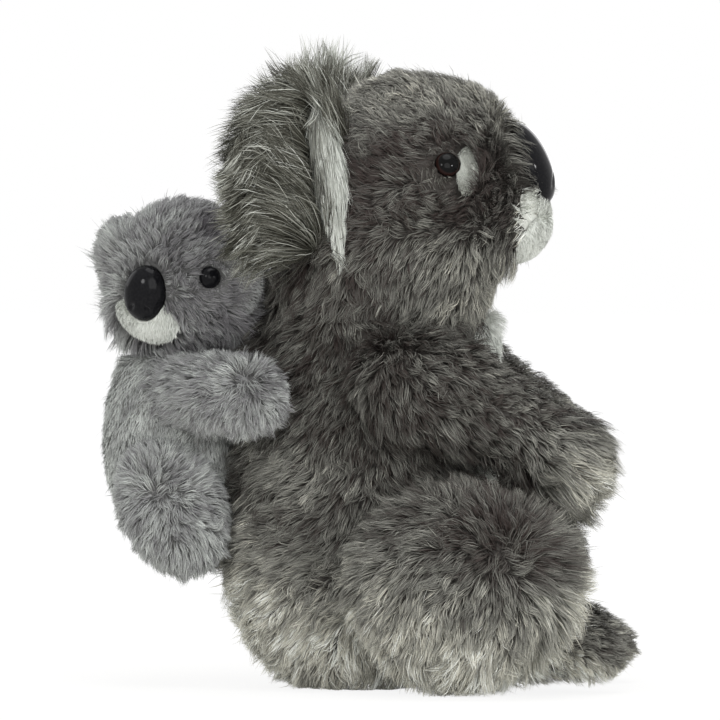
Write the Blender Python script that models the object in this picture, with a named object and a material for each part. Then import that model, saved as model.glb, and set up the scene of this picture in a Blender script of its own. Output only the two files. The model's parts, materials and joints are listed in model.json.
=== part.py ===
"""A sitting plush koala, with a young one that clings to its back.

Units are metres. The mother faces -Y, up is +Z and her right side is -X. Both are stuffed forms with their
filling, sewn together at the neck, shoulders, hips and ears. Eyes and noses are moulded, and each is held by
a lock washer on its shank. The forms follow the middle of the pile, so the hair tips stand a little outside.
"""

import math

import bmesh
import bpy
import numpy as np
from mathutils import Matrix, Vector
from mathutils.bvhtree import BVHTree

# Clearances and overruns

GAP = 0.0003  # between two pieces that touch
OVERRUN = 0.010  # how far a cutter reaches past what it cuts
FLOOR_CUT = 0.0005  # depth of the flat that the mother sits on
MERGE = 0.000001

# Mother's body, from the floor to the neck seam

BODY_HEIGHT = 0.177
BODY_DEPTH = 0.128
BODY_WIDTH = 0.108
BODY_SETBACK = 0.004  # the body's middle lies this far behind the origin
# height share, share of the half depth to the front, to the back, share of the half width
BODY_SHARES = (
    (0.00, 0.40, 0.36, 0.54),
    (0.05, 0.60, 0.62, 0.74),
    (0.16, 0.80, 0.87, 0.94),
    (0.27, 0.88, 0.97, 1.00),
    (0.38, 0.91, 1.00, 1.00),
    (0.53, 0.92, 0.98, 0.96),
    (0.67, 0.92, 0.93, 0.89),
    (0.80, 0.93, 0.87, 0.83),
    (0.99, 0.94, 0.74, 0.76),
    (1.10, 0.88, 0.52, 0.60),
)

# Mother's head, above the neck seam

HEAD_HEIGHT = 0.120
HEAD_DEPTH = 0.132
HEAD_WIDTH = 0.114
HEAD_BACK = 0.047  # how far the nape lies behind the origin
# share of the depth from the nape, crown and base as shares of the height, share of the half width
HEAD_SHARES = (
    (0.000, 0.075, -0.090, 0.14),
    (0.030, 0.220, -0.130, 0.42),
    (0.083, 0.390, -0.150, 0.63),
    (0.144, 0.630, -0.155, 0.76),
    (0.220, 0.810, -0.160, 0.87),
    (0.333, 0.950, -0.160, 0.97),
    (0.477, 1.000, -0.160, 1.00),
    (0.660, 0.975, -0.120, 0.94),
    (0.765, 0.940, -0.040, 0.83),
    (0.833, 0.890, 0.150, 0.70),
    (0.879, 0.800, 0.200, 0.58),
    (0.917, 0.675, 0.250, 0.49),
    (0.955, 0.583, 0.285, 0.39),
    (0.985, 0.500, 0.317, 0.28),
    (1.000, 0.433, 0.350, 0.16),
)
HEAD_TURN_SETBACK = -0.022  # the neck seam's middle
HEAD_TURN = math.radians(12)

# White pile on the mother's chest, chin and beside her eyes

BIB_WIDTH = 0.032
BIB_HEIGHT = 0.080
BIB_DROP = 0.037  # from the neck seam to the bib's middle
BIB_PILE = 0.0055
CHIN_WIDTH = 0.042
CHIN_DEPTH = 0.030
CHIN_HEIGHT = 0.038
CHIN_SINK = 0.0105  # how far the chin's middle lies behind the head's front
CHIN_RISE = 0.045  # above the neck seam
PATCH_LENGTH = 0.009
PATCH_HEIGHT = 0.021
PATCH_PILE = 0.0028
PATCH_AHEAD = 0.0090  # from the eye's middle
PATCH_DROP = 0.0030

# Mother's eyes and nose: dome, rim and shank, with the lock washer inside the head

EYE_WIDTH = 0.012
EYE_DOME = 0.0045
EYE_RIM = 0.0015
EYE_SHANK = 0.004
EYE_SHANK_LENGTH = 0.014
EYE_WASHER = 0.013
EYE_WASHER_THICKNESS = 0.0016
EYE_CLOTH = 0.005  # cloth and filling between the rim and the washer
EYE_SETBACK = 0.0420  # behind the head's front
EYE_RISE = 0.0737  # above the neck seam

NOSE_WIDTH = 0.033
NOSE_LENGTH = 0.042
NOSE_DOME = 0.0100
NOSE_RIM = 0.0025
NOSE_SHANK = 0.006
NOSE_SHANK_LENGTH = 0.022
NOSE_WASHER = 0.020
NOSE_WASHER_THICKNESS = 0.002
NOSE_CLOTH = 0.008
NOSE_SINK = 0.0065  # how far its rim's middle lies behind the head's front
NOSE_RISE = 0.0740
NOSE_TILT = math.radians(24)  # how far the nose looks up
NOSTRIL_WIDTH = 0.0045
NOSTRIL_LENGTH = 0.0075
NOSTRIL_DEPTH = 0.0030
NOSTRIL_SPREAD = 0.0110
NOSTRIL_DROP = 0.0105  # below the nose's middle

# Mother's ears

EAR_REACH = 0.060  # from the fold line to the rim
EAR_LENGTH = 0.074  # of the whole oval, part of which the head hides
EAR_HEIGHT = 0.080
EAR_THICKNESS = 0.014
EAR_CUP = 0.007  # how far the rim stands in front of the middle
EAR_SETBACK = 0.010  # of the fold line, behind the origin
EAR_RISE = 0.069  # above the neck seam
EAR_SWEEP = math.radians(52)  # backwards, from straight out
EAR_FOLD = math.radians(15)
TUFT_WIDTH = 0.014
TUFT_HEIGHT = 0.074
TUFT_THICKNESS = 0.009
TUFT_REACH = 0.007  # from the fold line
TUFT_LEAN = math.radians(12)  # of its lower end, towards the face

# Mother's arms, from behind the shoulder to the hand's end

ARM_LENGTH = 0.110
ARM_DROP = 0.056
ARM_THICKNESS = 0.058
ARM_WIDTH = 0.053
ARM_BACK = 0.002
ARM_HEIGHT = 0.150  # of the arm's back end above the floor
ARM_SPREAD = 0.050  # of the shoulder, from the middle
ARM_TURN_IN = 0.010
# share of the length, share of the drop, share of the thickness
ARM_SHARES = (
    (0.00, 0.00, 0.34),
    (0.07, 0.00, 0.69),
    (0.17, 0.02, 0.90),
    (0.32, 0.08, 0.99),
    (0.47, 0.19, 0.94),
    (0.61, 0.32, 0.84),
    (0.74, 0.46, 0.78),
    (0.84, 0.64, 0.83),
    (0.92, 0.78, 0.80),
    (0.97, 0.88, 0.62),
    (1.00, 0.94, 0.34),
)
SHOULDER_SETBACK = -0.026
SHOULDER_HEIGHT = 0.148
ARM_SWING = math.radians(30)

# Mother's legs: a round haunch and a foot in front of it

HAUNCH_WIDTH = 0.071
HAUNCH_LENGTH = 0.110
HAUNCH_HEIGHT = 0.094
HAUNCH_SPREAD = 0.062
HAUNCH_SETBACK = -0.050
HAUNCH_LIFT = 0.054  # of its middle above the floor
LEG_SWING = math.radians(15)
FOOT_LENGTH = 0.065
FOOT_DROP = 0.011
FOOT_THICKNESS = 0.036
FOOT_WIDTH = 0.038
FOOT_FRONT = -0.126
FOOT_HEIGHT = 0.027  # of the ankle's middle
FOOT_SPREAD = 0.041
FOOT_TURN_IN = 0.006
# share of the length, share of the drop, share of the thickness
FOOT_SHARES = (
    (0.00, 0.00, 0.70),
    (0.20, 0.10, 0.97),
    (0.43, 0.24, 1.00),
    (0.65, 0.48, 0.86),
    (0.83, 0.74, 0.68),
    (0.94, 0.90, 0.46),
    (1.00, 1.00, 0.22),
)

# Young one's body and head

YOUNG_WIDTH = 0.058
YOUNG_DEPTH = 0.068
YOUNG_HEIGHT = 0.116
YOUNG_SETBACK = 0.0925
YOUNG_LIFT = 0.119
YOUNG_NECK_HEIGHT = 0.158
YOUNG_HEAD_WIDTH = 0.078
YOUNG_HEAD_DEPTH = 0.073
YOUNG_HEAD_HEIGHT = 0.076
YOUNG_HEAD_SETBACK = 0.087
YOUNG_HEAD_LIFT = 0.1955
YOUNG_LOOK = math.radians(24)  # from straight to the mother's right, backwards
YOUNG_TILT = math.radians(12)  # of the crown, towards the mother
YOUNG_HEAD_TURN_OUT = math.radians(15)
YOUNG_HEAD_TURN_IN = math.radians(10)  # until its ear nears the mother's nape

# Young one's face, from the head's middle

YOUNG_EYE_WIDTH = 0.0105
YOUNG_EYE_DOME = 0.0045
YOUNG_EYE_RIM = 0.0015
YOUNG_EYE_SHANK = 0.004
YOUNG_EYE_SHANK_LENGTH = 0.012
YOUNG_EYE_WASHER = 0.011
YOUNG_EYE_WASHER_THICKNESS = 0.0015
YOUNG_EYE_CLOTH = 0.004
YOUNG_EYE_RISE = 0.007
YOUNG_EYE_SPREAD = math.radians(48)  # from the nose, round the head
YOUNG_NOSE_WIDTH = 0.021
YOUNG_NOSE_LENGTH = 0.027
YOUNG_NOSE_DOME = 0.0075
YOUNG_NOSE_RIM = 0.002
YOUNG_NOSE_SHANK = 0.005
YOUNG_NOSE_SHANK_LENGTH = 0.017
YOUNG_NOSE_WASHER = 0.014
YOUNG_NOSE_WASHER_THICKNESS = 0.0018
YOUNG_NOSE_CLOTH = 0.006
YOUNG_NOSE_DROP = 0.0065
YOUNG_NOSTRIL_WIDTH = 0.0030
YOUNG_NOSTRIL_LENGTH = 0.0045
YOUNG_NOSTRIL_DEPTH = 0.0020
YOUNG_NOSTRIL_SPREAD = 0.0080
YOUNG_NOSTRIL_DROP = 0.0065
YOUNG_MUZZLE_WIDTH = 0.039
YOUNG_MUZZLE_DEPTH = 0.032
YOUNG_MUZZLE_HEIGHT = 0.030
YOUNG_MUZZLE_REACH = 0.021
YOUNG_MUZZLE_DROP = 0.0145
YOUNG_EAR_WIDTH = 0.024
YOUNG_EAR_HEIGHT = 0.032
YOUNG_EAR_THICKNESS = 0.008
YOUNG_EAR_SPREAD = 0.0335
YOUNG_EAR_RISE = 0.006
YOUNG_EAR_AHEAD = 0.010

# Young one's arms and legs

YOUNG_ARM_THICKNESS = 0.038
YOUNG_ARM_WIDTH = 0.032
YOUNG_ARM_LENGTH = 0.065  # towards the mother's front
YOUNG_ARM_OUT = 0.041  # from its inner end to its paw
YOUNG_ARM_SPREAD = 0.012
YOUNG_ARM_BACK = 0.099
YOUNG_ARM_HEIGHT = 0.1435
YOUNG_ARM_DROP = 0.003
# share of the length, share of the way out, share of the thickness
YOUNG_ARM_SHARES = (
    (0.00, 0.00, 0.55),
    (0.16, 0.25, 0.86),
    (0.36, 0.52, 0.95),
    (0.58, 0.78, 1.00),
    (0.78, 0.94, 0.96),
    (0.92, 1.00, 0.72),
    (1.00, 1.00, 0.36),
)
YOUNG_LEG_WIDTH = 0.040
YOUNG_LEG_LENGTH = 0.050
YOUNG_LEG_HEIGHT = 0.066
YOUNG_LEG_SPREAD = 0.028
YOUNG_LEG_SETBACK = 0.090
YOUNG_LEG_LIFT = 0.086
YOUNG_LEG_LEAN = math.radians(30)  # of its lower end, forwards

# How finely the shapes are drawn

RING_SIDES = 20
RING_COUNT = 12
HEAD_RINGS = 15
LIMB_RINGS = 9
BALL_SIDES = 16
BALL_RINGS = 10
TURN_STEPS = 12
DOME_STEPS = 4
NOSE_STEPS = 20
NOSE_DOME_STEPS = 6
SWEEP_STEP = math.radians(6)  # between two places of a swept cutter
SHARP_ANGLE = math.radians(50)  # between two faces of an edge that stays sharp

SIDES = (("right", -1), ("left", 1))
FORWARD = Vector((0, -1, 0))
UP = Vector((0, 0, 1))
OUT = Vector((1, 0, 0))

LOOKS = {
    "grey_pile": ((0.20, 0.20, 0.19, 1), 0.95),
    "young_pile": ((0.26, 0.26, 0.28, 1), 0.95),
    "white_pile": ((0.78, 0.80, 0.77, 1), 0.9),
    "black_gloss": ((0.012, 0.011, 0.012, 1), 0.08),
    "brown_gloss": ((0.05, 0.02, 0.012, 1), 0.06),
    "washer_plastic": ((0.75, 0.75, 0.73, 1), 0.5),
}


# Materials and objects


def look(name):
    """The material of that name, made once."""
    made = bpy.data.materials.get(name)
    if made is None:
        made = bpy.data.materials.new(name)
        made.use_nodes = True
        colour, roughness = LOOKS[name]
        surface = made.node_tree.nodes["Principled BSDF"]
        surface.inputs["Base Color"].default_value = colour
        surface.inputs["Roughness"].default_value = roughness
        surface.inputs["Metallic"].default_value = 0
    return made


def hinge(name, place, parent=None):
    """An empty on a joint's axis, which carries the pieces that move with it."""
    pivot = bpy.data.objects.new(name, None)
    bpy.context.collection.objects.link(pivot)
    pivot.parent = parent
    pivot.location = place - (parent.matrix_world.translation if parent else Vector())
    bpy.context.view_layer.update()
    return pivot


def solid(name, shape, parent=None):
    """An object from a bmesh in world places. Its origin is its parent's, on the joint's axis."""
    if parent:
        bmesh.ops.translate(shape, vec=-parent.matrix_world.translation, verts=shape.verts)
    bmesh.ops.recalc_face_normals(shape, faces=shape.faces)
    mesh = bpy.data.meshes.new(name)
    shape.to_mesh(mesh)
    shape.free()
    made = bpy.data.objects.new(name, mesh)
    bpy.context.collection.objects.link(made)
    made.parent = parent
    return made


def piece(name, shape, finish, parent=None):
    """One sub-part, smooth apart from its cut edges."""
    made = solid(name, shape, parent)
    made.data.materials.append(look(finish))
    made.data.shade_smooth()
    made.data.set_sharp_from_angle(angle=SHARP_ANGLE)
    return made


def cutter(name, shape):
    """A shape that only cuts others."""
    made = solid(name, shape)
    made.hide_render = True
    made.display_type = "WIRE"
    return made


def cut(target, tools, operation="DIFFERENCE"):
    """Cut the target by each of the tools, or keep only what it shares with them."""
    for tool in tools:
        step = target.modifiers.new(tool.name, "BOOLEAN")
        step.object = tool
        step.operation = operation
        step.solver = "EXACT"


# Shapes


def smoothed(rows, count):
    """The chosen rows with smooth ones between them, count in all."""
    rows = np.array(rows)
    slopes = np.gradient(rows, axis=0)
    result = []
    for place in np.linspace(0, len(rows) - 1, count):
        low = min(int(place), len(rows) - 2)
        t = place - low
        result.append(
            rows[low] * (2 * t**3 - 3 * t**2 + 1)
            + slopes[low] * (t**3 - 2 * t**2 + t)
            + rows[low + 1] * (3 * t**2 - 2 * t**3)
            + slopes[low + 1] * (t**3 - t**2)
        )
    return result


def ringed(rings):
    """A closed shape through rings, each a centre and its two half-axes."""
    shape = bmesh.new()
    loops = []
    for centre, across, up in rings:
        circle = bmesh.ops.create_circle(shape, segments=RING_SIDES, radius=1)["verts"]
        for corner in circle:
            corner.co = centre + across * corner.co.x + up * corner.co.y
        loops.append(list(dict.fromkeys(edge for corner in circle for edge in corner.link_edges)))
    for first, second in zip(loops, loops[1:]):
        bmesh.ops.bridge_loops(shape, edges=first + second)
    for end in (loops[0], loops[-1]):
        bmesh.ops.edgeloop_fill(shape, edges=end)
    bmesh.ops.recalc_face_normals(shape, faces=shape.faces)
    return shape


def limb(path):
    """A closed shape along a path of (place, half width, half thickness), with its rings square to it."""
    rings = []
    for index, (place, half_width, half_thickness) in enumerate(path):
        before = path[max(index - 1, 0)][0]
        after = path[min(index + 1, len(path) - 1)][0]
        along = (after - before).normalized()
        across = UP.cross(along).normalized()
        rings.append((place, across * half_width, along.cross(across) * half_thickness))
    return ringed(rings)


def ball(width, depth, height, place, turn=Matrix()):
    """An ellipsoid of three full sizes, turned about its middle."""
    shape = bmesh.new()
    bmesh.ops.create_uvsphere(shape, u_segments=BALL_SIDES, v_segments=BALL_RINGS, radius=1)
    bmesh.ops.scale(shape, vec=(width / 2, depth / 2, height / 2), verts=shape.verts)
    bmesh.ops.transform(shape, matrix=Matrix.Translation(place) @ turn, verts=shape.verts)
    return shape


def block(low, high):
    """A box between two corners."""
    shape = bmesh.new()
    bmesh.ops.create_cube(shape, size=1)
    bmesh.ops.scale(shape, vec=high - low, verts=shape.verts)
    bmesh.ops.translate(shape, vec=(low + high) / 2, verts=shape.verts)
    return shape


def oval_bar(width, height, length, place, turn):
    """A bar with an oval section, along the turned Z."""
    shape = bmesh.new()
    bmesh.ops.create_cone(
        shape, segments=RING_SIDES, radius1=1, radius2=1, depth=1, cap_ends=True
    )
    bmesh.ops.scale(shape, vec=(width / 2, height / 2, length), verts=shape.verts)
    bmesh.ops.transform(shape, matrix=Matrix.Translation(place) @ turn, verts=shape.verts)
    return shape


def turned(outline, steps, is_ring=False):
    """An outline of (radius, height) points turned about Z. A ring's outline closes on itself."""
    shape = bmesh.new()
    corners = [shape.verts.new((radius, 0, height)) for radius, height in outline]
    ends = corners[1:] + corners[:1] if is_ring else corners[1:]
    for first, second in zip(corners, ends):
        shape.edges.new((first, second))
    bmesh.ops.spin(
        shape,
        geom=shape.verts[:] + shape.edges[:],
        cent=(0, 0, 0),
        axis=UP,
        angle=math.tau,
        steps=steps,
        use_merge=True,
    )
    bmesh.ops.remove_doubles(shape, verts=shape.verts, dist=MERGE)
    bmesh.ops.recalc_face_normals(shape, faces=shape.faces)
    return shape


def grown(shape, amount):
    """A copy whose surface stands that far outside."""
    bigger = shape.copy()
    bigger.normal_update()
    for corner in bigger.verts:
        corner.co += corner.normal * amount
    return bigger


def sweep(name, shape, place, axis, angles):
    """Cutters: the shape, grown by the gap, turned about a hinge to each angle."""
    tools = []
    for index, angle in enumerate(angles):
        copy = grown(shape, GAP)
        bmesh.ops.rotate(
            copy, cent=place, matrix=Matrix.Rotation(angle, 3, axis), verts=copy.verts
        )
        tools.append(cutter(f"{name}_{index}", copy))
    return tools


def steps_between(low, high):
    """Angles from low to high, both included, no further apart than the sweep's step."""
    return np.linspace(low, high, math.ceil((high - low) / SWEEP_STEP) + 1)


def seat_on(shape, start, towards):
    """Where a line from outside meets the shape, and the direction out of it there."""
    place, normal, _, _ = BVHTree.FromBMesh(shape).ray_cast(start, towards)
    return place, normal


def facing(direction, up):
    """The turn that takes Z to a direction, and Y as near as it goes to up."""
    side = up.cross(direction).normalized()
    return Matrix((side, direction.cross(side), direction)).transposed().to_4x4()


# Moulded eyes and noses, which look along Z from their seat


def dome_points(radius, dome, steps):
    """The outline of a dome from its top to its edge."""
    angles = np.linspace(math.pi / 2, 0, steps + 1)
    return [(radius * math.cos(angle), dome * math.sin(angle)) for angle in angles[1:]]


def moulded(radius, dome, rim, shank_radius, shank_length, steps, dome_steps):
    """A dome on a rim with a shank."""
    outline = [(0, dome)]
    outline += dome_points(radius, dome, dome_steps)
    outline += [
        (radius, -rim),
        (shank_radius, -rim),
        (shank_radius, -shank_length),
        (0, -shank_length),
    ]
    return turned(outline, steps)


def washer(bore, radius, top, thickness):
    """A lock washer whose outer face lies at top."""
    outline = [(bore, top), (radius, top), (radius, top - thickness), (bore, top - thickness)]
    return turned(outline, TURN_STEPS, is_ring=True)


def socket_shape(radius, dome, rim, shank_radius, shank_length, washer_radius, top, thickness, steps):
    """The room that a moulded piece and its washer take in their host, with the gap all round."""
    outline = [
        (0, dome + OVERRUN),
        (radius + GAP, dome + OVERRUN),
        (radius + GAP, -rim - GAP),
        (shank_radius + GAP, -rim - GAP),
        (shank_radius + GAP, top + GAP),
        (washer_radius + GAP, top + GAP),
        (washer_radius + GAP, top - thickness - GAP),
        (shank_radius + GAP, top - thickness - GAP),
        (shank_radius + GAP, -shank_length - GAP),
        (0, -shank_length - GAP),
    ]
    return turned(outline, steps)


def narrowed(shape, share, below):
    """Narrow what lies above a height, across the shape."""
    for corner in shape.verts:
        if corner.co.z > below:
            corner.co.x *= share
    return shape


def placed(shape, seat, turn):
    """Move a shape made at the origin to its seat."""
    bmesh.ops.transform(shape, matrix=Matrix.Translation(seat) @ turn, verts=shape.verts)
    return shape


def add_moulded(name, sizes, seat, turn, host, parent, finish, oval_share=1, round_steps=TURN_STEPS):
    """A moulded eye or nose with its lock washer, and the socket for them in the host."""
    width, dome, rim, shank, shank_length, washer_width, thickness, cloth = sizes
    dome_steps = DOME_STEPS if round_steps == TURN_STEPS else NOSE_DOME_STEPS
    top = -rim - cloth
    shape = moulded(width / 2, dome, rim, shank / 2, shank_length, round_steps, dome_steps)
    made = piece(name, placed(narrowed(shape, oval_share, -rim - GAP), seat, turn), finish, parent)
    ring = washer(shank / 2 + GAP, washer_width / 2, top, thickness)
    piece(f"{name}_lock_washer", placed(ring, seat, turn), "washer_plastic", parent)
    room = socket_shape(
        width / 2, dome, rim, shank / 2 + GAP, shank_length, washer_width / 2, top, thickness,
        round_steps,
    )
    room = narrowed(room, oval_share, -rim - 2 * GAP)
    socket = cutter(f"{name}_socket", placed(room, seat, turn))
    cut(host, (socket,))
    return made, socket


def add_nostrils(nose, name, sizes, seat, turn, dome):
    """Two dents low on a nose, one each side of its middle."""
    width, length, depth, spread, drop = sizes
    for side_name, side in SIDES:
        place = turn @ Vector((side * spread / 2, -drop, dome)) + seat
        dent = ball(width, length, 2 * depth, place, turn)
        cut(nose, (cutter(f"{name}_nostril_{side_name}", dent),))


# Forms that others are fitted to


def body_shape():
    """Mother's body, which runs on above the neck seam for the seam to cut."""
    rings = []
    for height, front, back, width in smoothed(BODY_SHARES, RING_COUNT):
        near = BODY_SETBACK - front * BODY_DEPTH / 2
        far = BODY_SETBACK + back * BODY_DEPTH / 2
        place = Vector((0, (near + far) / 2, height * BODY_HEIGHT - FLOOR_CUT))
        rings.append((place, OUT * width * BODY_WIDTH / 2, -FORWARD * (far - near) / 2))
    return ringed(rings)


def head_shape():
    """Mother's head with its nape, which runs on below the neck seam."""
    rings = []
    for along, crown, base, width in smoothed(HEAD_SHARES, HEAD_RINGS):
        top = BODY_HEIGHT + crown * HEAD_HEIGHT
        bottom = BODY_HEIGHT + base * HEAD_HEIGHT
        place = Vector((0, HEAD_BACK - along * HEAD_DEPTH, (top + bottom) / 2))
        rings.append((place, OUT * width * HEAD_WIDTH / 2, UP * (top - bottom) / 2))
    return ringed(rings)


def arm_shape(side):
    """One of the mother's arms, bent down at the hand."""
    path = []
    for along, drop, thickness in smoothed(ARM_SHARES, LIMB_RINGS):
        place = Vector((
            side * (ARM_SPREAD - along * ARM_TURN_IN),
            ARM_BACK - along * ARM_LENGTH,
            ARM_HEIGHT - drop * ARM_DROP,
        ))
        path.append((place, thickness * ARM_WIDTH / 2, thickness * ARM_THICKNESS / 2))
    return limb(path)


def foot_shape(side):
    """One of the mother's feet, from the ankle inside the haunch to the toes."""
    path = []
    for along, drop, thickness in smoothed(FOOT_SHARES, LIMB_RINGS):
        place = Vector((
            side * (FOOT_SPREAD - along * FOOT_TURN_IN),
            FOOT_FRONT + (1 - along) * FOOT_LENGTH,
            FOOT_HEIGHT - drop * FOOT_DROP,
        ))
        path.append((place, thickness * FOOT_WIDTH / 2, thickness * FOOT_THICKNESS / 2))
    return limb(path)


def young_arm_shape(side):
    """One of the young one's arms, which reaches round the mother's flank."""
    path = []
    for along, out, thickness in smoothed(YOUNG_ARM_SHARES, LIMB_RINGS):
        place = Vector((
            side * (YOUNG_ARM_SPREAD + out * YOUNG_ARM_OUT),
            YOUNG_ARM_BACK - along * YOUNG_ARM_LENGTH,
            YOUNG_ARM_HEIGHT - along * YOUNG_ARM_DROP,
        ))
        path.append((place, thickness * YOUNG_ARM_WIDTH / 2, thickness * YOUNG_ARM_THICKNESS / 2))
    return limb(path)


def ear_shape(fold, out, face):
    """One of the mother's ears: an oval whose rim is cupped towards its face."""
    shape = bmesh.new()
    bmesh.ops.create_uvsphere(shape, u_segments=BALL_SIDES, v_segments=BALL_RINGS, radius=1)
    middle = fold + out * (EAR_REACH - EAR_LENGTH / 2)
    for corner in shape.verts:
        along, through, high = corner.co
        cupped = through * EAR_THICKNESS / 2 + (along**2 + high**2 - 1) * EAR_CUP
        corner.co = middle + out * along * EAR_LENGTH / 2 + UP * high * EAR_HEIGHT / 2
        corner.co += face * cupped
    return shape


# Mother


def neck_cutters():
    """What is cut off above the body and below the head."""
    reach = Vector((HEAD_WIDTH, HEAD_DEPTH, 0))
    seam = UP * BODY_HEIGHT
    above = cutter("above_neck", block(seam - reach, seam + reach + UP * HEAD_HEIGHT * 2))
    joint = seam + UP * GAP
    below = cutter("below_neck", block(joint - reach - UP * HEAD_HEIGHT, joint + reach))
    return above, below


def add_body(form, above_neck):
    """Mother's body with the flat that she sits on."""
    body = piece("mother_body", form.copy(), "grey_pile")
    reach = Vector((BODY_WIDTH, BODY_DEPTH, 0))
    below = block(-reach - UP * OVERRUN, reach)
    cut(body, (above_neck, cutter("below_floor", below)))
    return body


def add_bib(form, above_neck):
    """White pile on the chest, on top of the body's cloth."""
    bib = piece("mother_chest_bib", grown(form, BIB_PILE), "white_pile")
    place = Vector((0, BODY_SETBACK - BODY_DEPTH / 2, BODY_HEIGHT - BIB_DROP))
    outline = oval_bar(BIB_WIDTH, BIB_HEIGHT, BODY_DEPTH / 2, place, facing(FORWARD, UP))
    cut(bib, (cutter("bib_outline", outline),), "INTERSECT")
    cut(bib, (cutter("bib_back", grown(form, GAP)), above_neck))


def add_arms(form):
    """Mother's arms, hollowed where they swing past the body."""
    shoulder = Vector((0, SHOULDER_SETBACK, SHOULDER_HEIGHT))
    swept = sweep("body_past_arm", form, shoulder, OUT, steps_between(0, ARM_SWING))
    for name, side in SIDES:
        pivot = hinge(f"{name}_shoulder", shoulder + OUT * side * ARM_SPREAD)
        arm = piece(f"mother_arm_{name}", arm_shape(side), "grey_pile", pivot)
        cut(arm, swept)


def add_legs(form):
    """Mother's haunches, hollowed where they swing past the body, and the feet sewn to them."""
    hip = Vector((0, HAUNCH_SETBACK, HAUNCH_LIFT))
    swept = sweep("body_past_leg", form, hip, OUT, steps_between(0, LEG_SWING))
    for name, side in SIDES:
        middle = hip + OUT * side * HAUNCH_SPREAD
        pivot = hinge(f"{name}_hip", middle)
        haunch_form = ball(HAUNCH_WIDTH, HAUNCH_LENGTH, HAUNCH_HEIGHT, middle)
        haunch = piece(f"mother_haunch_{name}", haunch_form.copy(), "grey_pile", pivot)
        cut(haunch, swept)
        foot = piece(f"mother_foot_{name}", foot_shape(side), "grey_pile", pivot)
        cut(foot, swept)
        cut(foot, (cutter(f"haunch_in_foot_{name}", grown(haunch_form, GAP)),))


def add_ears(form, head_pivot):
    """Mother's ears and the white tuft along the base of each, clear of the head as they fold."""
    for name, side in SIDES:
        level = Vector((0, EAR_SETBACK, BODY_HEIGHT + EAR_RISE))
        fold, _ = seat_on(form, level + OUT * side * HEAD_WIDTH, -OUT * side)
        pivot = hinge(f"{name}_ear_fold", fold, head_pivot)
        out = OUT * side * math.cos(EAR_SWEEP) - FORWARD * math.sin(EAR_SWEEP)
        face = OUT * side * math.sin(EAR_SWEEP) + FORWARD * math.cos(EAR_SWEEP)
        swept = sweep(f"head_past_{name}_ear", form, fold, UP, steps_between(-EAR_FOLD, EAR_FOLD))
        form_ear = ear_shape(fold, out, face)
        ear = piece(f"mother_ear_{name}", form_ear.copy(), "grey_pile", pivot)
        cut(ear, swept)
        place = fold + out * TUFT_REACH + face * (TUFT_THICKNESS - EAR_CUP / 2)
        lean = Matrix.Rotation(-side * TUFT_LEAN, 4, face)
        shape = ball(TUFT_WIDTH, TUFT_THICKNESS, TUFT_HEIGHT, place, lean @ facing(UP, face))
        tuft = piece(f"mother_ear_tuft_{name}", shape, "white_pile", pivot)
        cut(tuft, swept)
        cut(tuft, (cutter(f"{name}_ear_in_tuft", grown(form_ear, GAP)),))


def add_head(form, below_neck):
    """Mother's head with its eyes, nose and white pile."""
    pivot = hinge("neck", Vector((0, HEAD_TURN_SETBACK, BODY_HEIGHT)))
    head = piece("mother_head", form.copy(), "grey_pile", pivot)
    cut(head, (below_neck,))
    back = grown(form, GAP)
    eye_sizes = (
        EYE_WIDTH, EYE_DOME, EYE_RIM, EYE_SHANK, EYE_SHANK_LENGTH, EYE_WASHER,
        EYE_WASHER_THICKNESS, EYE_CLOTH,
    )
    for name, side in SIDES:
        level = Vector((0, HEAD_BACK - HEAD_DEPTH + EYE_SETBACK, BODY_HEIGHT + EYE_RISE))
        seat, normal = seat_on(form, level + OUT * side * HEAD_WIDTH, -OUT * side)
        _, socket = add_moulded(
            f"mother_eye_{name}", eye_sizes, seat, facing(normal, UP), head, pivot, "brown_gloss"
        )
        patch = piece(f"mother_eye_patch_{name}", grown(form, PATCH_PILE), "white_pile", pivot)
        middle = level + FORWARD * PATCH_AHEAD - UP * PATCH_DROP + OUT * side * HEAD_WIDTH / 2
        outline = oval_bar(PATCH_LENGTH, PATCH_HEIGHT, HEAD_WIDTH / 2, middle, facing(OUT, UP))
        cut(patch, (cutter(f"patch_outline_{name}", outline),), "INTERSECT")
        cut(patch, (cutter(f"patch_back_{name}", back.copy()), socket))
    look_at = Matrix.Rotation(NOSE_TILT, 3, OUT).inverted() @ FORWARD
    seat = Vector((0, HEAD_BACK - HEAD_DEPTH + NOSE_SINK, BODY_HEIGHT + NOSE_RISE))
    nose_sizes = (
        NOSE_LENGTH, NOSE_DOME, NOSE_RIM, NOSE_SHANK, NOSE_SHANK_LENGTH, NOSE_WASHER,
        NOSE_WASHER_THICKNESS, NOSE_CLOTH,
    )
    turn = facing(look_at, UP)
    nose, socket = add_moulded(
        "mother_nose", nose_sizes, seat, turn, head, pivot, "black_gloss",
        oval_share=NOSE_WIDTH / NOSE_LENGTH, round_steps=NOSE_STEPS,
    )
    nostril_sizes = (NOSTRIL_WIDTH, NOSTRIL_LENGTH, NOSTRIL_DEPTH, NOSTRIL_SPREAD, NOSTRIL_DROP)
    add_nostrils(nose, "mother", nostril_sizes, seat, turn, NOSE_DOME * math.cos(NOSE_TILT))
    place = Vector((0, HEAD_BACK - HEAD_DEPTH + CHIN_SINK, BODY_HEIGHT + CHIN_RISE))
    chin = piece(
        "mother_chin", ball(CHIN_WIDTH, CHIN_DEPTH, CHIN_HEIGHT, place), "white_pile", pivot
    )
    cut(chin, (cutter("head_in_chin", back), socket))
    return pivot


# Young one


def young_head_frame():
    """Where the young one's head points: ahead, to its left and out of its crown."""
    ahead = Vector((-math.cos(YOUNG_LOOK), math.sin(YOUNG_LOOK), 0))
    level = UP.cross(ahead)
    crown = UP * math.cos(YOUNG_TILT) + level * math.sin(YOUNG_TILT)
    return ahead, crown.cross(ahead), crown


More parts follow.
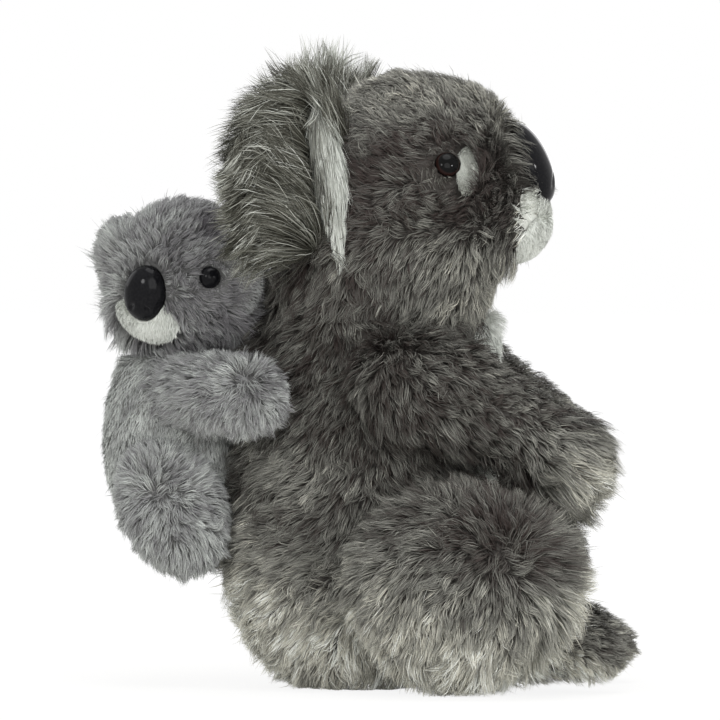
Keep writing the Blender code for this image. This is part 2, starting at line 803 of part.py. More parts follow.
def young_head_shape():
    """The young one's head, with its middle and its turn."""
    ahead, _, crown = young_head_frame()
    turn = facing(crown, ahead)
    middle = Vector((0, YOUNG_HEAD_SETBACK, YOUNG_HEAD_LIFT))
    return ball(YOUNG_HEAD_WIDTH, YOUNG_HEAD_DEPTH, YOUNG_HEAD_HEIGHT, middle, turn), middle, turn


def add_young_body(mother_form, head_form):
    """The young one's body, arms and legs, sewn to the mother's back."""
    mother = cutter("mother_in_young", grown(mother_form, GAP))
    place = Vector((0, YOUNG_SETBACK, YOUNG_LIFT))
    form = ball(YOUNG_WIDTH, YOUNG_DEPTH, YOUNG_HEIGHT, place)
    body = piece("young_body", form.copy(), "young_pile")
    reach = Vector((YOUNG_HEAD_WIDTH, YOUNG_HEAD_WIDTH, 0))
    seam = Vector((0, YOUNG_SETBACK, YOUNG_NECK_HEIGHT))
    above = block(seam - reach, seam + reach + UP * YOUNG_HEAD_HEIGHT)
    cut(body, (mother, cutter("above_young_neck", above)))
    young = cutter("young_in_limbs", grown(form, GAP))
    neck = Vector((0, YOUNG_HEAD_SETBACK, YOUNG_NECK_HEIGHT))
    turns = steps_between(-YOUNG_HEAD_TURN_OUT, YOUNG_HEAD_TURN_IN)
    swept = sweep("young_head_past_arm", head_form, neck, UP, turns)
    for name, side in SIDES:
        leg_place = Vector((side * YOUNG_LEG_SPREAD, YOUNG_LEG_SETBACK, YOUNG_LEG_LIFT))
        lean = Matrix.Rotation(-YOUNG_LEG_LEAN, 4, OUT)
        leg_form = ball(YOUNG_LEG_WIDTH, YOUNG_LEG_LENGTH, YOUNG_LEG_HEIGHT, leg_place, lean)
        leg_tool = cutter(f"young_leg_in_arm_{name}", grown(leg_form, GAP))
        leg = piece(f"young_leg_{name}", leg_form, "young_pile")
        cut(leg, (mother, young))
        arm = piece(f"young_arm_{name}", young_arm_shape(side), "young_pile")
        cut(arm, (mother, young, leg_tool, *swept))


def add_young_head(form, middle, turn):
    """The young one's head, which looks out to the mother's right."""
    ahead, across, crown = young_head_frame()
    pivot = hinge("young_neck", Vector((0, YOUNG_HEAD_SETBACK, YOUNG_NECK_HEIGHT)))
    head = piece("young_head", form.copy(), "young_pile", pivot)
    reach = Vector((YOUNG_HEAD_WIDTH, YOUNG_HEAD_WIDTH, 0))
    seam = Vector((0, YOUNG_HEAD_SETBACK, YOUNG_NECK_HEIGHT + GAP))
    below = block(seam - reach - UP * YOUNG_HEAD_HEIGHT, seam + reach)
    cut(head, (cutter("below_young_neck", below),))
    back = grown(form, GAP)
    eye_sizes = (
        YOUNG_EYE_WIDTH, YOUNG_EYE_DOME, YOUNG_EYE_RIM, YOUNG_EYE_SHANK, YOUNG_EYE_SHANK_LENGTH,
        YOUNG_EYE_WASHER, YOUNG_EYE_WASHER_THICKNESS, YOUNG_EYE_CLOTH,
    )
    for name, side in SIDES:
        towards = ahead * math.cos(YOUNG_EYE_SPREAD) + across * side * math.sin(YOUNG_EYE_SPREAD)
        start = middle + crown * YOUNG_EYE_RISE + towards * YOUNG_HEAD_WIDTH
        seat, normal = seat_on(form, start, -towards)
        add_moulded(
            f"young_eye_{name}", eye_sizes, seat, facing(normal, crown), head, pivot, "black_gloss"
        )
        ear_place = middle + across * side * YOUNG_EAR_SPREAD + crown * YOUNG_EAR_RISE
        ear_place += ahead * YOUNG_EAR_AHEAD
        ear_form = ball(
            YOUNG_EAR_WIDTH, YOUNG_EAR_THICKNESS, YOUNG_EAR_HEIGHT, ear_place, turn
        )
        ear = piece(f"young_ear_{name}", ear_form, "young_pile", pivot)
        cut(ear, (cutter(f"young_head_in_ear_{name}", back.copy()),))
    start = middle - crown * YOUNG_NOSE_DROP + ahead * YOUNG_HEAD_WIDTH
    seat, normal = seat_on(form, start, -ahead)
    nose_sizes = (
        YOUNG_NOSE_LENGTH, YOUNG_NOSE_DOME, YOUNG_NOSE_RIM, YOUNG_NOSE_SHANK,
        YOUNG_NOSE_SHANK_LENGTH, YOUNG_NOSE_WASHER, YOUNG_NOSE_WASHER_THICKNESS, YOUNG_NOSE_CLOTH,
    )
    face = facing(normal, crown)
    nose, socket = add_moulded(
        "young_nose", nose_sizes, seat, face, head, pivot, "black_gloss",
        oval_share=YOUNG_NOSE_WIDTH / YOUNG_NOSE_LENGTH, round_steps=NOSE_STEPS,
    )
    nostril_sizes = (
        YOUNG_NOSTRIL_WIDTH, YOUNG_NOSTRIL_LENGTH, YOUNG_NOSTRIL_DEPTH, YOUNG_NOSTRIL_SPREAD,
        YOUNG_NOSTRIL_DROP,
    )
    add_nostrils(nose, "young", nostril_sizes, seat, face, YOUNG_NOSE_DOME)
    place = middle + ahead * YOUNG_MUZZLE_REACH - crown * YOUNG_MUZZLE_DROP
    muzzle_form = ball(
        YOUNG_MUZZLE_WIDTH, YOUNG_MUZZLE_DEPTH, YOUNG_MUZZLE_HEIGHT, place, turn
    )
    muzzle = piece("young_muzzle", muzzle_form, "white_pile", pivot)
    cut(muzzle, (cutter("young_head_in_muzzle", back), socket))


def main():
    """Build the two koalas in an empty scene."""
    for old in list(bpy.data.objects):
        bpy.data.objects.remove(old)
    body_form = body_shape()
    head_form = head_shape()
    above_neck, below_neck = neck_cutters()
    add_body(body_form, above_neck)
    add_bib(body_form, above_neck)
    add_arms(body_form)
    add_legs(body_form)
    head_pivot = add_head(head_form, below_neck)
    add_ears(head_form, head_pivot)
    young_form, young_middle, young_turn = young_head_shape()
    add_young_body(body_form, young_form)
    add_young_head(young_form, young_middle, young_turn)


main()
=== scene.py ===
# %% [markdown]
# A sitting plush koala with a young one on its back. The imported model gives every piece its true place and
# size, as plain closed forms. This lesson gives those forms their coats: cloth skins with long grey pile,
# short white pile, glossy eyes and noses. All lengths are metres. The mother faces -Y, and her right side
# is towards -X.

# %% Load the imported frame
import json
import math
from dataclasses import dataclass, replace
from typing import Callable

import bmesh
import bpy
import numpy as np
from mathutils import Matrix, Vector
from mathutils.bvhtree import BVHTree
from mathutils.kdtree import KDTree


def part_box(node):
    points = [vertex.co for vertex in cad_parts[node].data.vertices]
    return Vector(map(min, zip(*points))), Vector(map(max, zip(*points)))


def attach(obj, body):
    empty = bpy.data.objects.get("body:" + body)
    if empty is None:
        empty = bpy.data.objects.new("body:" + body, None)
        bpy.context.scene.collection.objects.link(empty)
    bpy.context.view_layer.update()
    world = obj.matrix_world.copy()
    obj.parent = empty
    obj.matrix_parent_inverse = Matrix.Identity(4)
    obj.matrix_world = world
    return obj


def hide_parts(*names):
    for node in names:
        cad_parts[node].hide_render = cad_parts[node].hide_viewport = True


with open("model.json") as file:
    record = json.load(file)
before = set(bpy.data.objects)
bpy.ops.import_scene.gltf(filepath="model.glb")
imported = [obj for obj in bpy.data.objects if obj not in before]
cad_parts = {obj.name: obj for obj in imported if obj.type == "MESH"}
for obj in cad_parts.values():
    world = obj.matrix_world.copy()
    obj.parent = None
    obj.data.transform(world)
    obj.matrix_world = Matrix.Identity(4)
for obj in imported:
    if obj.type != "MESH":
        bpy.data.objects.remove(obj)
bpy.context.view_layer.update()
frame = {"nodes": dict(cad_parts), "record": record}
BODY_OF = {node: body for body, nodes in frame["record"]["behaviour"]["bodies"].items() for node in nodes}
MM = 0.001
SIDES = (("right", -1), ("left", 1))
print(f"{len(BODY_OF)} pieces on {len(set(BODY_OF.values()))} bodies")

# %% [markdown]
# The camera stands where the photograph was taken: to the mother's right, a little in front of her and almost
# level with her. A long lens from some metres away keeps the forms as flat as the photograph shows them.

# %% Camera
TARGET = Vector((0, 2.7 * MM, 156.5 * MM))
DISTANCE = 4.0
FRAME_WIDTH = 0.345
SENSOR_WIDTH = 36  # millimetres
AZIMUTH = math.radians(-85)
ELEVATION = math.radians(2)

towards_camera = Vector((
    math.sin(AZIMUTH) * math.cos(ELEVATION),
    -math.cos(AZIMUTH) * math.cos(ELEVATION),
    math.sin(ELEVATION),
))
camera = bpy.data.objects.new("camera", bpy.data.cameras.new("camera"))
bpy.context.scene.collection.objects.link(camera)
camera.location = TARGET + towards_camera * DISTANCE
camera.rotation_euler = (-towards_camera).to_track_quat("-Z", "Y").to_euler()
camera.data.sensor_width = SENSOR_WIDTH
camera.data.lens = SENSOR_WIDTH * DISTANCE / FRAME_WIDTH
bpy.context.scene.camera = camera
print("lens", round(camera.data.lens), "mm")

# %% [markdown]
# The background is a white studio. Light Path tells who looks: to the camera and to glossy plastic the floor
# and the far surroundings are plain white, and all other light meets pale paper and an even, dimmer world. A
# share of the paper's own shading is kept for the camera, so that the toy has its shadow on the floor.

# %% Paper for the floor
PAPER = (0.84, 0.83, 0.80, 1)
PAPER_GLOW = 1.03  # 1 shows as plain white


def seen_directly(nodes, links):
    """1 for the camera, mirrors and glass, and 0 for all other light."""
    path = nodes.new("ShaderNodeLightPath")
    value = path.outputs["Is Camera Ray"]
    for name in ("Is Glossy Ray", "Is Transmission Ray"):
        larger = nodes.new("ShaderNodeMath")
        larger.operation = "MAXIMUM"
        links.new(value, larger.inputs[0])
        links.new(path.outputs[name], larger.inputs[1])
        value = larger.outputs["Value"]
    return value


def studio_paper(shadow_share, reach):
    """Pale paper that looks white to the camera, apart from a share of its shading near the toy."""
    material = bpy.data.materials.new("studio_paper")
    material.use_nodes = True
    nodes, links = material.node_tree.nodes, material.node_tree.links
    nodes.clear()
    output = nodes.new("ShaderNodeOutputMaterial")
    paper = nodes.new("ShaderNodeBsdfDiffuse")
    paper.inputs["Color"].default_value = PAPER
    white = nodes.new("ShaderNodeEmission")
    white.inputs["Strength"].default_value = PAPER_GLOW
    where = nodes.new("ShaderNodeTexCoord")
    distance = nodes.new("ShaderNodeVectorMath")
    distance.operation = "LENGTH"
    links.new(where.outputs["Object"], distance.inputs[0])
    fade = nodes.new("ShaderNodeMapRange")
    fade.interpolation_type = "SMOOTHSTEP"
    fade.inputs["From Min"].default_value = reach / 4
    fade.inputs["From Max"].default_value = reach
    fade.inputs["To Min"].default_value = 1 - shadow_share
    fade.inputs["To Max"].default_value = 1
    links.new(distance.outputs["Value"], fade.inputs["Value"])
    shaded = nodes.new("ShaderNodeMixShader")
    links.new(fade.outputs["Result"], shaded.inputs["Fac"])
    links.new(paper.outputs["BSDF"], shaded.inputs[1])
    links.new(white.outputs["Emission"], shaded.inputs[2])
    mix = nodes.new("ShaderNodeMixShader")
    links.new(seen_directly(nodes, links), mix.inputs["Fac"])
    links.new(paper.outputs["BSDF"], mix.inputs[1])
    links.new(shaded.outputs["Shader"], mix.inputs[2])
    links.new(mix.outputs["Shader"], output.inputs["Surface"])
    return material


print("paper ready")

# %% [markdown]
# The floor is one wide sheet of that paper. The world's own light is even and white, so that it tints
# nothing.

# %% Floor and world
FLOOR_HALF = 6  # half of the sheet's width
WHITE = (1, 1, 1, 1)
EVEN_LIGHT = 0.50

sheet = bmesh.new()
bmesh.ops.create_grid(sheet, x_segments=1, y_segments=1, size=FLOOR_HALF)
studio_floor = bpy.data.objects.new("studio_floor", bpy.data.meshes.new("studio_floor"))
sheet.to_mesh(studio_floor.data)
sheet.free()
bpy.context.scene.collection.objects.link(studio_floor)
studio_floor.data.materials.append(studio_paper(shadow_share=0.15, reach=0.45))

world = bpy.data.worlds.new("studio")
bpy.context.scene.world = world
world.use_nodes = True
world_nodes, world_links = world.node_tree.nodes, world.node_tree.links
even = world_nodes["Background"]
even.inputs["Color"].default_value = WHITE
even.inputs["Strength"].default_value = EVEN_LIGHT
plain = world_nodes.new("ShaderNodeBackground")
plain.inputs["Color"].default_value = WHITE
world_mix = world_nodes.new("ShaderNodeMixShader")
world_links.new(seen_directly(world_nodes, world_links), world_mix.inputs["Fac"])
world_links.new(even.outputs["Background"], world_mix.inputs[1])
world_links.new(plain.outputs["Background"], world_mix.inputs[2])
world_links.new(world_mix.outputs["Shader"], world_nodes["World Output"].inputs["Surface"])
bpy.context.scene.view_settings.view_transform = "Standard"
print("white studio laid out")

# %% [markdown]
# Plush drinks light, so broad soft lamps suit it: one high above, one low beside the camera that fills the
# lower coat, one on the far side, and one behind that catches the hair tips along the outline. Two smaller
# ones, in front and to the left like a window, give the eyes and noses their bright points.

# %% Lights
LAMPS = (
    # name, place, size across, watts
    ("above", (-0.3, -0.2, 1.7), 1.3, 15),
    ("low_side", (-1.6, -0.5, 0.45), 1.3, 12),
    ("front", (-1.2, -1.55, 0.55), 0.22, 10),
    ("window", (-1.65, 0.9, 0.7), 0.45, 9),
    ("behind", (0.5, 1.6, 0.9), 1.2, 6),
    ("far_side", (1.7, -0.3, 0.8), 1.3, 10),
)


def soft_lamp(name, place, size, watts):
    """A round soft box that faces the toy."""
    lamp = bpy.data.objects.new(name, bpy.data.lights.new(name, "AREA"))
    lamp.data.shape = "DISK"
    lamp.data.size = size
    lamp.data.energy = watts
    lamp.location = place
    lamp.rotation_euler = (TARGET - Vector(place)).to_track_quat("-Z", "Y").to_euler()
    bpy.context.scene.collection.objects.link(lamp)


for name, place, size, watts in LAMPS:
    soft_lamp(f"lamp_{name}", place, size, watts)
print(len(LAMPS), "lamps")

# %% [markdown]
# Plush pile is dark near the cloth, where light hardly reaches, and pale at the tips. Each hair here carries
# a small map named OFBake: across it runs the hair's own tone, from dark to pale, and along it the way from
# root to tip. The material turns those two numbers into a colour, so one material serves a whole coat.

# %% How pile takes its colour
PILE_ROUGHNESS = 0.6
PILE_SHINE = 0.25
ROOT_ENDS, TIP_STARTS = 0.05, 0.80  # shares of the way along the map


def ramp(nodes, links, value, stops):
    """A colour ramp over (place, colour) stops."""
    made = nodes.new("ShaderNodeValToRGB")
    elements = made.color_ramp.elements
    while len(elements) < len(stops):
        elements.new(0.5)
    for element, (place, colour) in zip(elements, stops):
        element.position = place
        element.color = (*colour, 1)
    links.new(value, made.inputs["Fac"])
    return made.outputs["Color"]


def pile_material(name, roots, tips):
    """A coat whose colour runs from the roots' ramp to the tips' ramp along each hair."""
    material = bpy.data.materials.new(name)
    material.use_nodes = True
    nodes, links = material.node_tree.nodes, material.node_tree.links
    surface = nodes["Principled BSDF"]
    surface.inputs["Roughness"].default_value = PILE_ROUGHNESS
    surface.inputs["Specular IOR Level"].default_value = PILE_SHINE
    uv = nodes.new("ShaderNodeUVMap")
    uv.uv_map = "OFBake"
    parts = nodes.new("ShaderNodeSeparateXYZ")
    links.new(uv.outputs["UV"], parts.inputs["Vector"])
    along = nodes.new("ShaderNodeMapRange")
    along.interpolation_type = "SMOOTHSTEP"
    along.inputs["From Min"].default_value = ROOT_ENDS
    along.inputs["From Max"].default_value = TIP_STARTS
    links.new(parts.outputs["Y"], along.inputs["Value"])
    blend = nodes.new("ShaderNodeMix")
    blend.data_type = "RGBA"
    links.new(along.outputs["Result"], blend.inputs["Factor"])
    links.new(ramp(nodes, links, parts.outputs["X"], roots), blend.inputs[6])
    links.new(ramp(nodes, links, parts.outputs["X"], tips), blend.inputs[7])
    links.new(blend.outputs[2], surface.inputs["Base Color"])
    return material


print("pile takes its colour from the map OFBake")

# %% [markdown]
# There are four kinds of pile: the mother's mottled grey, her shaggy olive grey ears, the young one's cooler
# grey, and white. Each ramp runs from a tone of 0, nearly black, to 1, nearly white.

# %% The four piles
GREY_PILE = pile_material(
    "grey_pile",
    roots=[
        (0.0, (0.018, 0.012, 0.011)), (0.5, (0.060, 0.057, 0.050)), (0.85, (0.24, 0.225, 0.19)),
        (1.0, (0.66, 0.68, 0.64)),
    ],
    tips=[
        (0.0, (0.034, 0.024, 0.021)), (0.3, (0.112, 0.110, 0.098)), (0.6, (0.275, 0.274, 0.242)),
        (0.9, (0.60, 0.585, 0.50)), (1.0, (0.82, 0.84, 0.80)),
    ],
)
EAR_PILE = pile_material(
    "ear_pile",
    roots=[(0.0, (0.020, 0.019, 0.013)), (0.5, (0.060, 0.059, 0.046)), (1.0, (0.32, 0.32, 0.28))],
    tips=[
        (0.0, (0.038, 0.036, 0.026)), (0.4, (0.15, 0.15, 0.125)), (0.7, (0.34, 0.345, 0.305)),
        (1.0, (0.62, 0.64, 0.59)),
    ],
)
YOUNG_PILE = pile_material(
    "young_pile",
    roots=[(0.0, (0.040, 0.039, 0.041)), (0.5, (0.12, 0.12, 0.118)), (1.0, (0.34, 0.345, 0.33))],
    tips=[
        (0.0, (0.074, 0.068, 0.076)), (0.4, (0.23, 0.228, 0.233)), (0.7, (0.385, 0.402, 0.386)),
        (1.0, (0.66, 0.69, 0.66)),
    ],
)
WHITE_PILE = pile_material(
    "white_pile",
    roots=[(0.0, (0.03, 0.03, 0.025)), (0.4, (0.44, 0.455, 0.415)), (1.0, (0.68, 0.70, 0.66))],
    tips=[
        (0.0, (0.07, 0.069, 0.058)), (0.2, (0.24, 0.245, 0.215)), (0.4, (0.52, 0.54, 0.50)),
        (1.0, (0.84, 0.86, 0.82)),
    ],
)
PILES = {"grey_fur": GREY_PILE, "ear_fur": EAR_PILE, "young_fur": YOUNG_PILE, "white_fur": WHITE_PILE}
print(len(PILES), "kinds of pile")

# %% [markdown]
# Hair grows only where a form is bare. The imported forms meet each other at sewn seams, so each face that
# looks straight at a neighbour close by is left out before the hair roots are scattered over the rest.

# %% Where hair can grow
SEAM_REACH = 1.2 * MM
TOUCHING = 0.5 * MM
FINE_EDGE = 7.0 * MM
FINER_CUTS = 3
TINY = 0.01 * MM
FACING = -0.3  # the product of two normals that look at each other
DOWN_FACING = -0.8


def merged_copy(node):
    """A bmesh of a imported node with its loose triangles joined."""
    shape = bmesh.new()
    shape.from_mesh(frame["nodes"][node].data)
    bmesh.ops.remove_doubles(shape, verts=shape.verts, dist=TINY)
    return shape


def tree_of(nodes):
    """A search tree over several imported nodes."""
    places, faces = [], []
    for node in nodes:
        mesh = frame["nodes"][node].data
        start = len(places)
        places += [corner.co.copy() for corner in mesh.vertices]
        faces += [[start + index for index in face.vertices] for face in mesh.polygons]
    return BVHTree.FromPolygons(places, faces)


def distances(places, nodes):
    """How far each place is from the nearest of some nodes."""
    tree = tree_of(nodes)
    return np.array([tree.find_nearest(Vector(place))[3] for place in places])


def neighbours(node):
    """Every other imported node."""
    return [name for name in frame["nodes"] if name != node]


def bare_surface(node):
    """The faces of a form that no neighbour covers, cut fine enough to follow its roundness."""
    shape = merged_copy(node)
    for _ in range(FINER_CUTS):
        long_edges = [edge for edge in shape.edges if edge.calc_length() > FINE_EDGE]
        if long_edges:
            bmesh.ops.subdivide_edges(shape, edges=long_edges, cuts=1)
            bmesh.ops.triangulate(shape, faces=shape.faces)
    others = tree_of(neighbours(node))
    covered = []
    for face in shape.faces:
        middle = face.calc_center_median()
        _, normal, _, gap = others.find_nearest(middle)
        faces_it = gap < SEAM_REACH and normal.dot(face.normal) < FACING
        stands_on = middle.z < TOUCHING and face.normal.z < DOWN_FACING
        if faces_it or gap < TOUCHING or stands_on:
            covered.append(face)
    bmesh.ops.delete(shape, geom=covered, context="FACES")
    shape.normal_update()
    return shape


print("seams closer than", SEAM_REACH / MM, "mm grow no hair")

# %% [markdown]
# The roots are scattered at random, as many on each face as its area asks for. Numpy's arrays handle a
# hundred thousand hairs at once, where a loop over single points would take minutes.

# %% Scattering the roots
NO_LENGTH = 1e-9


def unit(rows):
    """Each row at length one."""
    return rows / np.maximum(np.linalg.norm(rows, axis=1, keepdims=True), NO_LENGTH)


def scatter(shape, per_mm2, rng):
    """Random places on a surface with their smooth normals, as two arrays."""
    bmesh.ops.triangulate(shape, faces=shape.faces)
    shape.verts.index_update()
    corners = np.array([corner.co for corner in shape.verts])
    normals = np.array([corner.normal for corner in shape.verts])
    faces = np.array([[corner.index for corner in face.verts] for face in shape.faces])
    a, b, c = (corners[faces[:, k]] for k in range(3))
    areas = np.linalg.norm(np.cross(b - a, c - a), axis=1) / 2
    count = int(areas.sum() / MM**2 * per_mm2)
    chosen = rng.choice(len(faces), size=count, p=areas / areas.sum())
    share = rng.random((count, 2))
    share = np.where(share.sum(1, keepdims=True) > 1, 1 - share, share)
    weights = np.column_stack((1 - share.sum(1), share))[:, :, None]
    places = (corners[faces[chosen]] * weights).sum(1)
    return places, unit((normals[faces[chosen]] * weights).sum(1))


print("scattering ready")

# %% [markdown]
# Length, tone and direction all change softly over the coat. A smooth step blends from 0 to 1 between two
# places, given in millimetres above the origin, in front of it or behind it, and a sum of a few waves gives
# the drifting patches that brushed pile has.

# %% Soft changes over the coat
WAVES = 7
WAVES_REACH = 3.2  # what their sum seldom passes


def smooth_step(values, low, high):
    """0 below low, 1 above high, and smooth between."""
    share = np.clip((values - low) / (high - low), 0, 1)
    return share * share * (3 - 2 * share)


def waves(places, scale, seed):
    """Smooth noise between about -1 and 1 that changes over the given distance."""
    rng = np.random.default_rng(seed)
    total = np.zeros(len(places))
    for _ in range(WAVES):
        direction = rng.normal(size=3)
        direction *= rng.uniform(0.6, 1.5) / np.linalg.norm(direction) * math.tau / (2 * scale)
        total += np.sin(places @ direction + rng.uniform(0, math.tau))
    return total / WAVES_REACH


def above(places, low, high):
    """0 below a low height and 1 above a high one."""
    return smooth_step(places[:, 2], low * MM, high * MM)


def beneath(places, high, low):
    """0 above a high height and 1 below a low one."""
    return smooth_step(-places[:, 2], -high * MM, -low * MM)


def ahead(places, start, end):
    """0 behind the start and 1 in front of the end, both in front of the origin."""
    return smooth_step(-places[:, 1], start * MM, end * MM)


def behind(places, start, end):
    """0 in front of the start and 1 behind the end, both behind the origin."""
    return smooth_step(places[:, 1], start * MM, end * MM)


def near_spot(places, back, up, near, far):
    """1 near a spot of the side view and 0 far from it."""
    away = np.linalg.norm(places[:, 1:] - np.array([(back * MM, up * MM)]), axis=1)
    return 1 - smooth_step(away, near * MM, far * MM)


def near_piece(places, nodes, near, far):
    """1 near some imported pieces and 0 far from them."""
    return 1 - smooth_step(distances(places, nodes), near * MM, far * MM)


def sides_of(places):
    """-1 on the mother's right side and 1 on her left."""
    return np.where(places[:, 0] < 0, -1.0, 1.0)


def one_way(back, up):
    """Hair that is combed the same way everywhere."""
    def flow(places, normals):
        return np.broadcast_to(np.array([(0, back, up)]), places.shape)
    return flow


print("soft changes ready")

# %% [markdown]
# A coat is a set of values: how dense and long the hair is, how far it lies over, and how it gathers in
# locks. A data class keeps them together, and each form's coat is a copy with a few numbers changed.

# %% A coat's values
@dataclass
class Coat:
    """How one form's hair grows. Angles are from upright, at the root and at the tip."""
    per_mm2: float
    length: float
    lift: tuple
    depth: float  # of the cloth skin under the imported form's surface
    width: float
    lock: int  # hairs in a lock
    pull: float  # how closely a lock's tips come together
    steps: int = 3
    longest: float = 28 * MM
    jitter: float = 0.32  # how much single hairs leave the combed way
    bend: float = 0.40  # how much neighbours leave it together
    sag: float = 0.12
    uneven: float = 0.14  # how much the length drifts
    frizz: float = 0.38 * MM
    strays: float = 0.01  # the share of hairs that keep out of the locks
    stray_lift: float = 0.6  # a share of the lift
    stray_tone: float = 0.0
    lock_tone: float = 0.08  # how much locks differ
    hair_tone: float = 0.12  # how much hairs differ
    skin_tone: float = 0.25
    skin_paler: Callable = None  # added to the skin's tone at each place
    longer: Callable = None  # a share of the length at each place
    upright: Callable = None  # a share of the lift at each place
    smoother: Callable = None  # a share of the pull at each place


def share_at(function, places, normals):
    """What a coat's function gives at each place, or 1."""
    return np.ones(len(places)) if function is None else function(places, normals)


print("a coat has", len(Coat.__dataclass_fields__), "values")

# %% [markdown]
# A hair starts under the form's surface, leaves the cloth at a slant and lies over in the direction it is
# combed. Locks form where neighbours lean together, so each hair is drawn to the nearest of some leading
# hairs, more so towards its tip. No operator combs so many hairs, so their points are worked out here.

# %% Combing
LENGTH_PATCH, LENGTH_SEED = 9 * MM, 5
BEND_PATCH, BEND_SEEDS = 12 * MM, (11, 12, 13)
HAIR_LENGTHS = (0.75, 1.15)
STRAY_LONGER = 1.3
LEAN = 0.10  # radians


def comb(places, normals, roots, flow, coat, shorter, rng):
    """The points of each hair, as an array of hairs by points by three, and which hairs are strays."""
    count = len(places)
    stray = rng.random(count) < coat.strays
    drift = 1 + coat.uneven * waves(places, LENGTH_PATCH, LENGTH_SEED)
    length = coat.length * drift * rng.uniform(*HAIR_LENGTHS, count)
    length *= shorter * share_at(coat.longer, places, normals) * np.where(stray, STRAY_LONGER, 1)
    length = np.minimum(length, coat.longest)
    bend = np.column_stack([waves(places, BEND_PATCH, seed) for seed in BEND_SEEDS])
    combed = unit(flow) + bend * coat.bend + rng.normal(size=(count, 3)) * coat.jitter
    combed = unit(combed - (combed * normals).sum(1, keepdims=True) * normals)
    first, last = (math.radians(angle) for angle in coat.lift)
    lean = rng.normal(size=count) * LEAN
    flatter = share_at(coat.upright, places, normals) * np.where(stray, coat.stray_lift, 1)
    points = np.empty((count, coat.steps + 1, 3))
    points[:, 0] = roots
    for step in range(coat.steps):
        share = step / (coat.steps - 1)
        angle = ((first + (last - first) * share + lean) * flatter)[:, None]
        onward = normals * np.cos(angle) + combed * np.sin(angle)
        onward[:, 2] -= coat.sag * share
        points[:, step + 1] = points[:, step] + unit(onward) * (length / coat.steps)[:, None]
    return points, stray


DRAWING_IN = 1.2  # how late along the hair the lock closes
HOLD = (0.55, 0.95)
STRAY_HOLD = 0.2


def gather(points, stray, pull, coat, rng):
    """Hairs drawn together into locks, and which lock each is in."""
    count, rows = points.shape[:2]
    leaders = rng.choice(count, size=max(int(count / coat.lock), 1), replace=False)
    tree = KDTree(len(leaders))
    for index, leader in enumerate(leaders):
        tree.insert(points[leader, 0], index)
    tree.balance()
    lock = np.array([tree.find(place)[1] for place in points[:, 0]])
    lead = points[leaders[lock]]
    share = np.linspace(0, 1, rows)[None, :, None]
    drawn = lead + (points[:, :1] - lead[:, :1]) * (1 - pull[:, None, None] * share**DRAWING_IN)
    hold = rng.uniform(*HOLD, count) * np.where(stray, STRAY_HOLD, 1) * np.minimum(pull * 2, 1)
    points = points + (drawn - points) * hold[:, None, None] * share
    return points + rng.normal(size=points.shape) * coat.frizz * share, lock


print("combing ready")

# %% [markdown]
# At this scale a single fibre is finer than a pixel, so each modelled hair is a flat lock of a few fibres: a
# narrow band of faces that ends in a point. It lies flat towards the outside, as combed pile does, and its
# tone and the way along it go into the OFBake map.

# %% Hairs from points
TWIST = 0.5
TAPER = 0.45
HALF_BAND = 0.006  # half of a hair's width on the map
MAP_EDGES = (0.004, 0.996)
MAP_ROOT, MAP_LENGTH = 0.08, 0.90


def blades(points, normals, tones, width, rng):
    """Corners, face loops, face sizes and map places of flat pointed hairs."""
    count, rows = points.shape[:2]
    along = np.gradient(points, axis=1)
    flat = unit(np.cross(along.reshape(-1, 3), np.repeat(normals, rows, axis=0)))
    flat += np.repeat(normals * rng.normal(size=(count, 1)) * TWIST, rows, axis=0)
    flat = unit(flat).reshape(count, rows, 3)
    share = np.linspace(0, 1, rows)
    breadth = (width[:, None] * (1 - TAPER * share[None, :]))[:, :, None] / 2
    corners = np.empty((count, 2 * rows - 1, 3))
    corners[:, 0:-1:2] = (points - flat * breadth)[:, :-1]
    corners[:, 1:-1:2] = (points + flat * breadth)[:, :-1]
    corners[:, -1] = points[:, -1]
    quads = np.array([[2 * k, 2 * k + 1, 2 * k + 3, 2 * k + 2] for k in range(rows - 2)], int)
    tip = np.array([2 * rows - 4, 2 * rows - 3, 2 * rows - 2])
    pattern = np.concatenate((quads.reshape(-1), tip))
    loops = (np.arange(count)[:, None] * (2 * rows - 1) + pattern[None, :]).reshape(-1)
    sizes = np.tile(np.array([4] * (rows - 2) + [3]), count)
    across = np.where(np.arange(2 * rows - 1) % 2, HALF_BAND, -HALF_BAND)
    across[-1] = 0
    u = np.clip(tones[:, None] + across[None, :], *MAP_EDGES)
    v = np.broadcast_to(np.repeat(share, 2)[:-1] * MAP_LENGTH + MAP_ROOT, u.shape)
    return corners.reshape(-1, 3), loops, sizes, np.stack((u, v), axis=2).reshape(-1, 2)[loops]


print("hairs ready")

# %% [markdown]
# The cloth under the hair keeps a coat closed from every side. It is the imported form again, set back along
# its normals by the pile's depth. On the map each of its faces covers a small spot at the roots' end. The
# cloth and the hair become one mesh, because they are one piece on the real toy.

# %% Cloth, and one mesh from both
SKIN_SPOT = np.array([(-0.02, 0.005), (0.02, 0.005), (0.0, 0.05)])


def skin_arrays(shape, depths, tone):
    """The same four arrays for the cloth under the hair, set back along its normals, one tone a face."""
    shape.verts.index_update()
    corners = np.array([corner.co for corner in shape.verts])
    corners -= np.array([corner.normal for corner in shape.verts]) * depths[:, None]
    corners[:, 2] = np.maximum(corners[:, 2], 0.0)
    loops = np.array([corner.index for face in shape.faces for corner in face.verts])
    sizes = np.full(len(shape.faces), 3)
    tones = np.column_stack((np.repeat(tone, 3), np.zeros(len(loops))))
    return corners, loops, sizes, np.tile(SKIN_SPOT, (len(sizes), 1)) + tones


